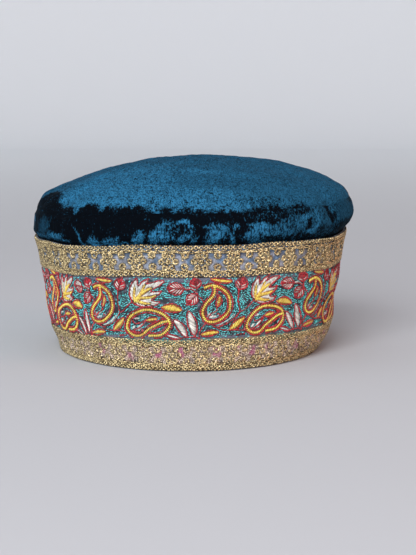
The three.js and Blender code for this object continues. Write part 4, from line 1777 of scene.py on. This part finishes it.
def lace_lines(rosettes, outer_rings):
    """The rest of the lace: a row of small rings along each edge and the lines beside them."""
    rings = round(rosettes * RINGS_TO_A_ROSETTE)
    lines = round_loops(along_lace(rings, RING_LINE), RING, 8)
    lines += round_loops(along_lace(rings, outer_rings), OUTER_RING, 8)
    for border in BORDERS:
        points = 6  # to a wave
        s = columns_round(border.waves * rosettes * points)
        wave = border.size * np.cos(2 * math.pi * np.arange(len(s)) / points)
        lines.append((np.stack([s, border.across + wave], -1), True))
    return lines


def lace_height(lace, s, across):
    """The height over the rim of places on a lace."""
    turn = 2 * math.pi * np.asarray(s) / ROUND
    sway = lace.sway * np.cos(lace.waves * turn - lace.phase) - lace.drop
    return lace.edge + lace.way * across + sway * np.clip(1 - across / LACE_WIDTH, lace.kept, 1)


def dye_at(s, height):
    """Where the lower lace is dyed, from 0 to 1."""
    dyed = np.zeros(np.shape(s))
    for stain in STAINS:
        away = wrap(s - stain.s) / stain.size
        dyed = np.maximum(dyed, np.exp(-(away**2) - ((height - stain.height) / stain.size) ** 2))
    return dyed


def filled_at(s, across, rosettes):
    """Where fine thread fills the upper lace: its rosettes, its small wheels and its two laps."""
    pitch = ROUND / rosettes
    filled = sum(lap.filled * np.clip((12 - np.abs(s - lap.s)) / 3, 0, 1) for lap in LAPS)
    spots = [(0.0, ROSETTE_LINE, 4.6)] + [(pitch / 2, line, 2.2) for line in WHEEL_LINES]
    for shift, line, reach in spots:
        away = np.hypot(wrap(s - FIRST_ROSETTE - shift, pitch), across - line)
        filled = np.maximum(filled, np.clip((reach - away) / 1.2, 0, 1))
    return filled


def lace_net(which, rosettes):
    """The mesh of a lace's net, with its dye and where it is filled."""
    lace, s = LACES[which], columns_round(LACE_COLUMNS)
    section = NET_SECTION[:: -lace.way]
    across, far = (np.array(column(section, name))[:, None] for name in Turn._fields)
    grid = wall(s[None, :], lace_height(lace, s[None, :], across), far)
    mesh = woven(f"{which}_lace_net", grid, s)
    s, across, far = (v.ravel() for v in np.broadcast_arrays(s[None, :], across, far))
    height = lace_height(lace, s, across)
    if lace.worn:
        dyed = dye_at(s, height) + 0.2 * lumps_at(s, across, 1.7, 72)
        filled = 1.0
    else:
        dyed = np.zeros(len(s))
        filled = filled_at(s, across, rosettes)
    between = (across > NET_OPEN[0]) & (across < NET_OPEN[1]) & (far >= NET_FACE)
    along, up, outward = wall_axes(s, height, NET_FACE)
    turn = (2.4 * lumps_at(s, across, 2.6, 73))[:, None]
    set_values(mesh, "across", across / 18)
    set_values(mesh, "dyed", dyed)
    set_values(mesh, "bare", between * filled)
    set_values(mesh, "outward", outward)
    set_values(mesh, "flow", along * np.cos(turn) + up * np.sin(turn))
    mesh.materials.append(net_cloth(which))
    return mesh


def drawn_on(lace, loops):
    """Lines drawn flat along a lace, laid on it as s and height. Where the lace is worn, the
    small rings in its dyed patches are gone."""
    made = []
    for points, closed in loops:
        small, centre = np.ptp(points[:, 0]) < 5, points.mean(0)
        if lace.worn and small and dye_at(centre[0], lace_height(lace, *centre)) > 0.5:
            continue
        places = np.stack([points[:, 0], lace_height(lace, *points.T)], -1)
        stray = [lumps_at(*places.T, 6.0, seed + lace.odd) for seed in (81, 83)]
        made.append((places + 0.25 * np.stack(stray, -1), closed))
    return made


# The stitches of a lace: their length, pitch and slant.
Metal = namedtuple("Metal", "size pitch slant")
WHEEL_STITCH, LINE_STITCH = Metal(1.75, 0.82, math.pi / 2 - 0.2), Metal(1.4, 1.05, 0.35)


def build_lace(sizes, which):
    """The upper or the lower lace: net, filling, wheels, and rings with their borders."""
    lace = LACES[which]
    mesh = lace_net(which, sizes.rosettes)
    pieces = [
        stitch(
            f"{which}_lace_filling", mesh.copy(), "Seed stitches", lace.filling, **PLAIN,
            Length=1.6 * MM, Width=0.85 * MM, Height=0.3 * MM,
            Unevenness=0.8, Least_Gap=0.93 * MM, Seed=24,
        )
    ]
    net = add_object(f"{which}_lace_net", mesh)
    for part, loops, metal in (
        ("wheels", lace_wheels(sizes.rosettes), WHEEL_STITCH),
        ("thread", lace_lines(sizes.rosettes, lace.outer_rings), LINE_STITCH),
    ):
        lines = line_mesh(part, drawn_on(lace, loops), NET_FACE + 0.25)
        pieces.append(
            stitch(
                f"{which}_lace_{part}", lines, "Stitches along lines", "gold thread", **PLAIN,
                Length=metal.size * MM, Width=sizes.lace_thread, Height=0.25 * MM,
                Slant=metal.slant, Unevenness=0.3, Pitch=metal.pitch * MM, Seed=21 + lace.odd,
            )
        )
    for piece in [net] + pieces:
        settle(piece, "gold_lace", f"{which}_lace")


# ---- Stage ------------------------------------------------------

Light = namedtuple("Light", "name place size power colour")
LIGHTS = table(
    Light,
    ("key", (-0.8, -2.6, 1.5), 1.6, 104.0, (0.96, 0.985, 1.0)),
    ("fill", (2.3, -1.0, 1.0), 1.3, 15.0, (1.0, 0.32, 0.14)),
    ("top", (-0.5, 0.5, 2.4), 1.6, 6.0, (0.93, 0.97, 1.0)),
)
AIM = (0.0, 0.0, 0.06)  # what the lights point at
SKY, SKY_STRENGTH = (0.88, 0.91, 0.95, 1), 0.445
STAGE_FLAT, STAGE_CURVE, STAGE_TOP = 2.6, 0.8, 1.4  # radius of the floor, of its curve, height
STAGE_SIDES = 64
FLOOR, BACKDROP = (0.50, 0.51, 0.54, 1), (0.88, 0.91, 0.95, 1)  # the paper, near by and far off

# Darker, warmer paper far to the left and right: where it begins, where it is full, its colour.
Side = namedtuple("Side", "begins full colour")
SIDES = (Side(-0.8, -2.0, (0.62, 0.62, 0.61, 1)), Side(0.8, 2.0, (0.52, 0.49, 0.46, 1)))

CAMERA_PLACE = (-0.002, -1.0, 0.1673)
CAMERA_DOWN, CAMERA_RIGHT = 7.184, 0.6  # degrees that it looks down and to the right
CAMERA_LENS, CAMERA_FILM = 105.7, 36.0


def backdrop_paper(name):
    """Pale matt paper, greyer under the cap."""
    paint = Paint(name, Roughness=0.9, Specular_IOR_Level=0.1)
    tree = paint.tree
    place = out(add(tree, "ShaderNodeTexCoord"), "Object")
    parts = add(tree, "ShaderNodeSeparateXYZ", {0: place})
    squares = [maths(tree, "MULTIPLY", out(parts, axis), out(parts, axis)) for axis in "XY"]
    away = maths(tree, "POWER", maths(tree, "ADD", *squares), 0.5)
    paper = mix_colour(tree, spread(tree, away, 0.3, STAGE_FLAT), FLOOR, BACKDROP)
    for side in SIDES:
        share = spread(tree, out(parts, "X"), side.begins, side.full)
        paper = mix_colour(tree, share, paper, side.colour)
    paint.feed("Base Color", paper)
    return paint.material


def build_backdrop():
    """A floor that curves up into a backdrop all round."""
    profile = [(STAGE_FLAT, 0.0)]
    for a in np.linspace(0.2, math.pi / 2, 8):
        profile.append((STAGE_FLAT + STAGE_CURVE * math.sin(a), STAGE_CURVE * (1 - math.cos(a))))
    profile.append((STAGE_FLAT + STAGE_CURVE, STAGE_TOP))
    ring = np.arange(STAGE_SIDES) * 2 * math.pi / STAGE_SIDES
    points = [(r * math.cos(a), r * math.sin(a), z) for r, z in profile for a in ring]
    faces = [list(range(STAGE_SIDES))]
    for first in range(0, STAGE_SIDES * (len(profile) - 1), STAGE_SIDES):
        for k in range(STAGE_SIDES):
            left, right = first + k, first + (k + 1) % STAGE_SIDES
            faces.append([right, left, left + STAGE_SIDES, right + STAGE_SIDES])
    mesh = bpy.data.meshes.new("backdrop")
    mesh.from_pydata(points, [], faces)
    mesh.polygons.foreach_set("use_smooth", [False] + [True] * (len(faces) - 1))
    mesh.materials.append(backdrop_paper("backdrop paper"))
    add_object("backdrop", mesh)


def build_lights():
    """Soft lamps and an even, pale sky."""
    for light in LIGHTS:
        lamp = bpy.data.lights.new(light.name, "AREA")
        lamp.size, lamp.energy, lamp.color = light.size, light.power, light.colour
        stand = add_object(light.name, lamp)
        stand.location = light.place
        stand.rotation_euler = (Vector(AIM) - stand.location).to_track_quat("-Z", "Y").to_euler()
    world = bpy.data.worlds.new("studio")
    world.use_nodes = True
    background = world.node_tree.nodes["Background"]
    background.inputs["Color"].default_value = SKY
    background.inputs["Strength"].default_value = SKY_STRENGTH
    bpy.context.scene.world = world
    bpy.context.scene.view_settings.view_transform = "Standard"


def build_camera():
    """A camera straight in front, a little above the cap."""
    camera = bpy.data.cameras.new("camera")
    camera.lens, camera.sensor_width = CAMERA_LENS, CAMERA_FILM
    stand = add_object("camera", camera)
    stand.location = CAMERA_PLACE
    stand.rotation_euler = (math.radians(90 - CAMERA_DOWN), 0, math.radians(-CAMERA_RIGHT))
    bpy.context.scene.camera = stand


# ---- Operators, panel and registration --------------------------


class VELVETCAP_OT_stage(bpy.types.Operator):
    """Builds the floor, the lights and the camera"""

    bl_idname = "velvetcap.stage"
    bl_label = "Stage"

    def execute(self, context):
        build_backdrop()
        build_lights()
        build_camera()
        return {"FINISHED"}


class VELVETCAP_OT_velvet(bpy.types.Operator):
    """Builds the velvet side wall and domed top, and the hem's stitches inside"""

    bl_idname = "velvetcap.velvet"
    bl_label = "Velvet Crown"

    def execute(self, context):
        build_crown_side(context.scene.velvet_cap_sizes)
        build_crown_top(context.scene.velvet_cap_sizes)
        build_hem()
        return {"FINISHED"}


class VELVETCAP_OT_ribbon(bpy.types.Operator):
    """Builds the ribbon with the seed stitches of its ground"""

    bl_idname = "velvetcap.ribbon"
    bl_label = "Ribbon Ground"

    def execute(self, context):
        build_ribbon(context.scene.velvet_cap_sizes)
        return {"FINISHED"}


class VELVETCAP_OT_embroidery(bpy.types.Operator):
    """Embroiders the paisleys, leaves, buds and flowers on the ribbon"""

    bl_idname = "velvetcap.embroidery"
    bl_label = "Embroidery"

    def execute(self, context):
        build_embroidery(context.scene.velvet_cap_sizes)
        return {"FINISHED"}


class VELVETCAP_OT_laces(bpy.types.Operator):
    """Builds the gold lace along each edge of the ribbon"""

    bl_idname = "velvetcap.laces"
    bl_label = "Gold Laces"

    def execute(self, context):
        for which in LACES:
            build_lace(context.scene.velvet_cap_sizes, which)
        return {"FINISHED"}


OPERATORS = (
    VELVETCAP_OT_stage,
    VELVETCAP_OT_velvet,
    VELVETCAP_OT_ribbon,
    VELVETCAP_OT_embroidery,
    VELVETCAP_OT_laces,
)


class VELVETCAP_PT_panel(bpy.types.Panel):
    bl_label = "Velvet Cap"
    bl_idname = "VELVETCAP_PT_panel"
    bl_space_type = "VIEW_3D"
    bl_region_type = "UI"
    bl_category = "Velvet Cap"

    def draw(self, context):
        for group in (context.scene.velvet_cap_sizes, context.scene.velvet_cap_colours):
            box = self.layout.box()
            for name in group.bl_rna.properties.keys():
                if name not in ("rna_type", "name"):
                    box.prop(group, name)
        for operator in OPERATORS:
            self.layout.operator(operator.bl_idname)


CLASSES = (VelvetCapSizes, VelvetCapColours, *OPERATORS, VELVETCAP_PT_panel)


def register():
    for cls in CLASSES:
        bpy.utils.register_class(cls)
    bpy.types.Scene.velvet_cap_sizes = PointerProperty(type=VelvetCapSizes)
    bpy.types.Scene.velvet_cap_colours = PointerProperty(type=VelvetCapColours)


def unregister():
    del bpy.types.Scene.velvet_cap_colours
    del bpy.types.Scene.velvet_cap_sizes
    for cls in reversed(CLASSES):
        bpy.utils.unregister_class(cls)


def main():
    """Builds the whole cap on its stage."""
    register()
    bpy.ops.velvetcap.stage()
    bpy.ops.velvetcap.velvet()
    bpy.ops.velvetcap.ribbon()
    bpy.ops.velvetcap.embroidery()
    bpy.ops.velvetcap.laces()


if __name__ == "__main__":
    main()
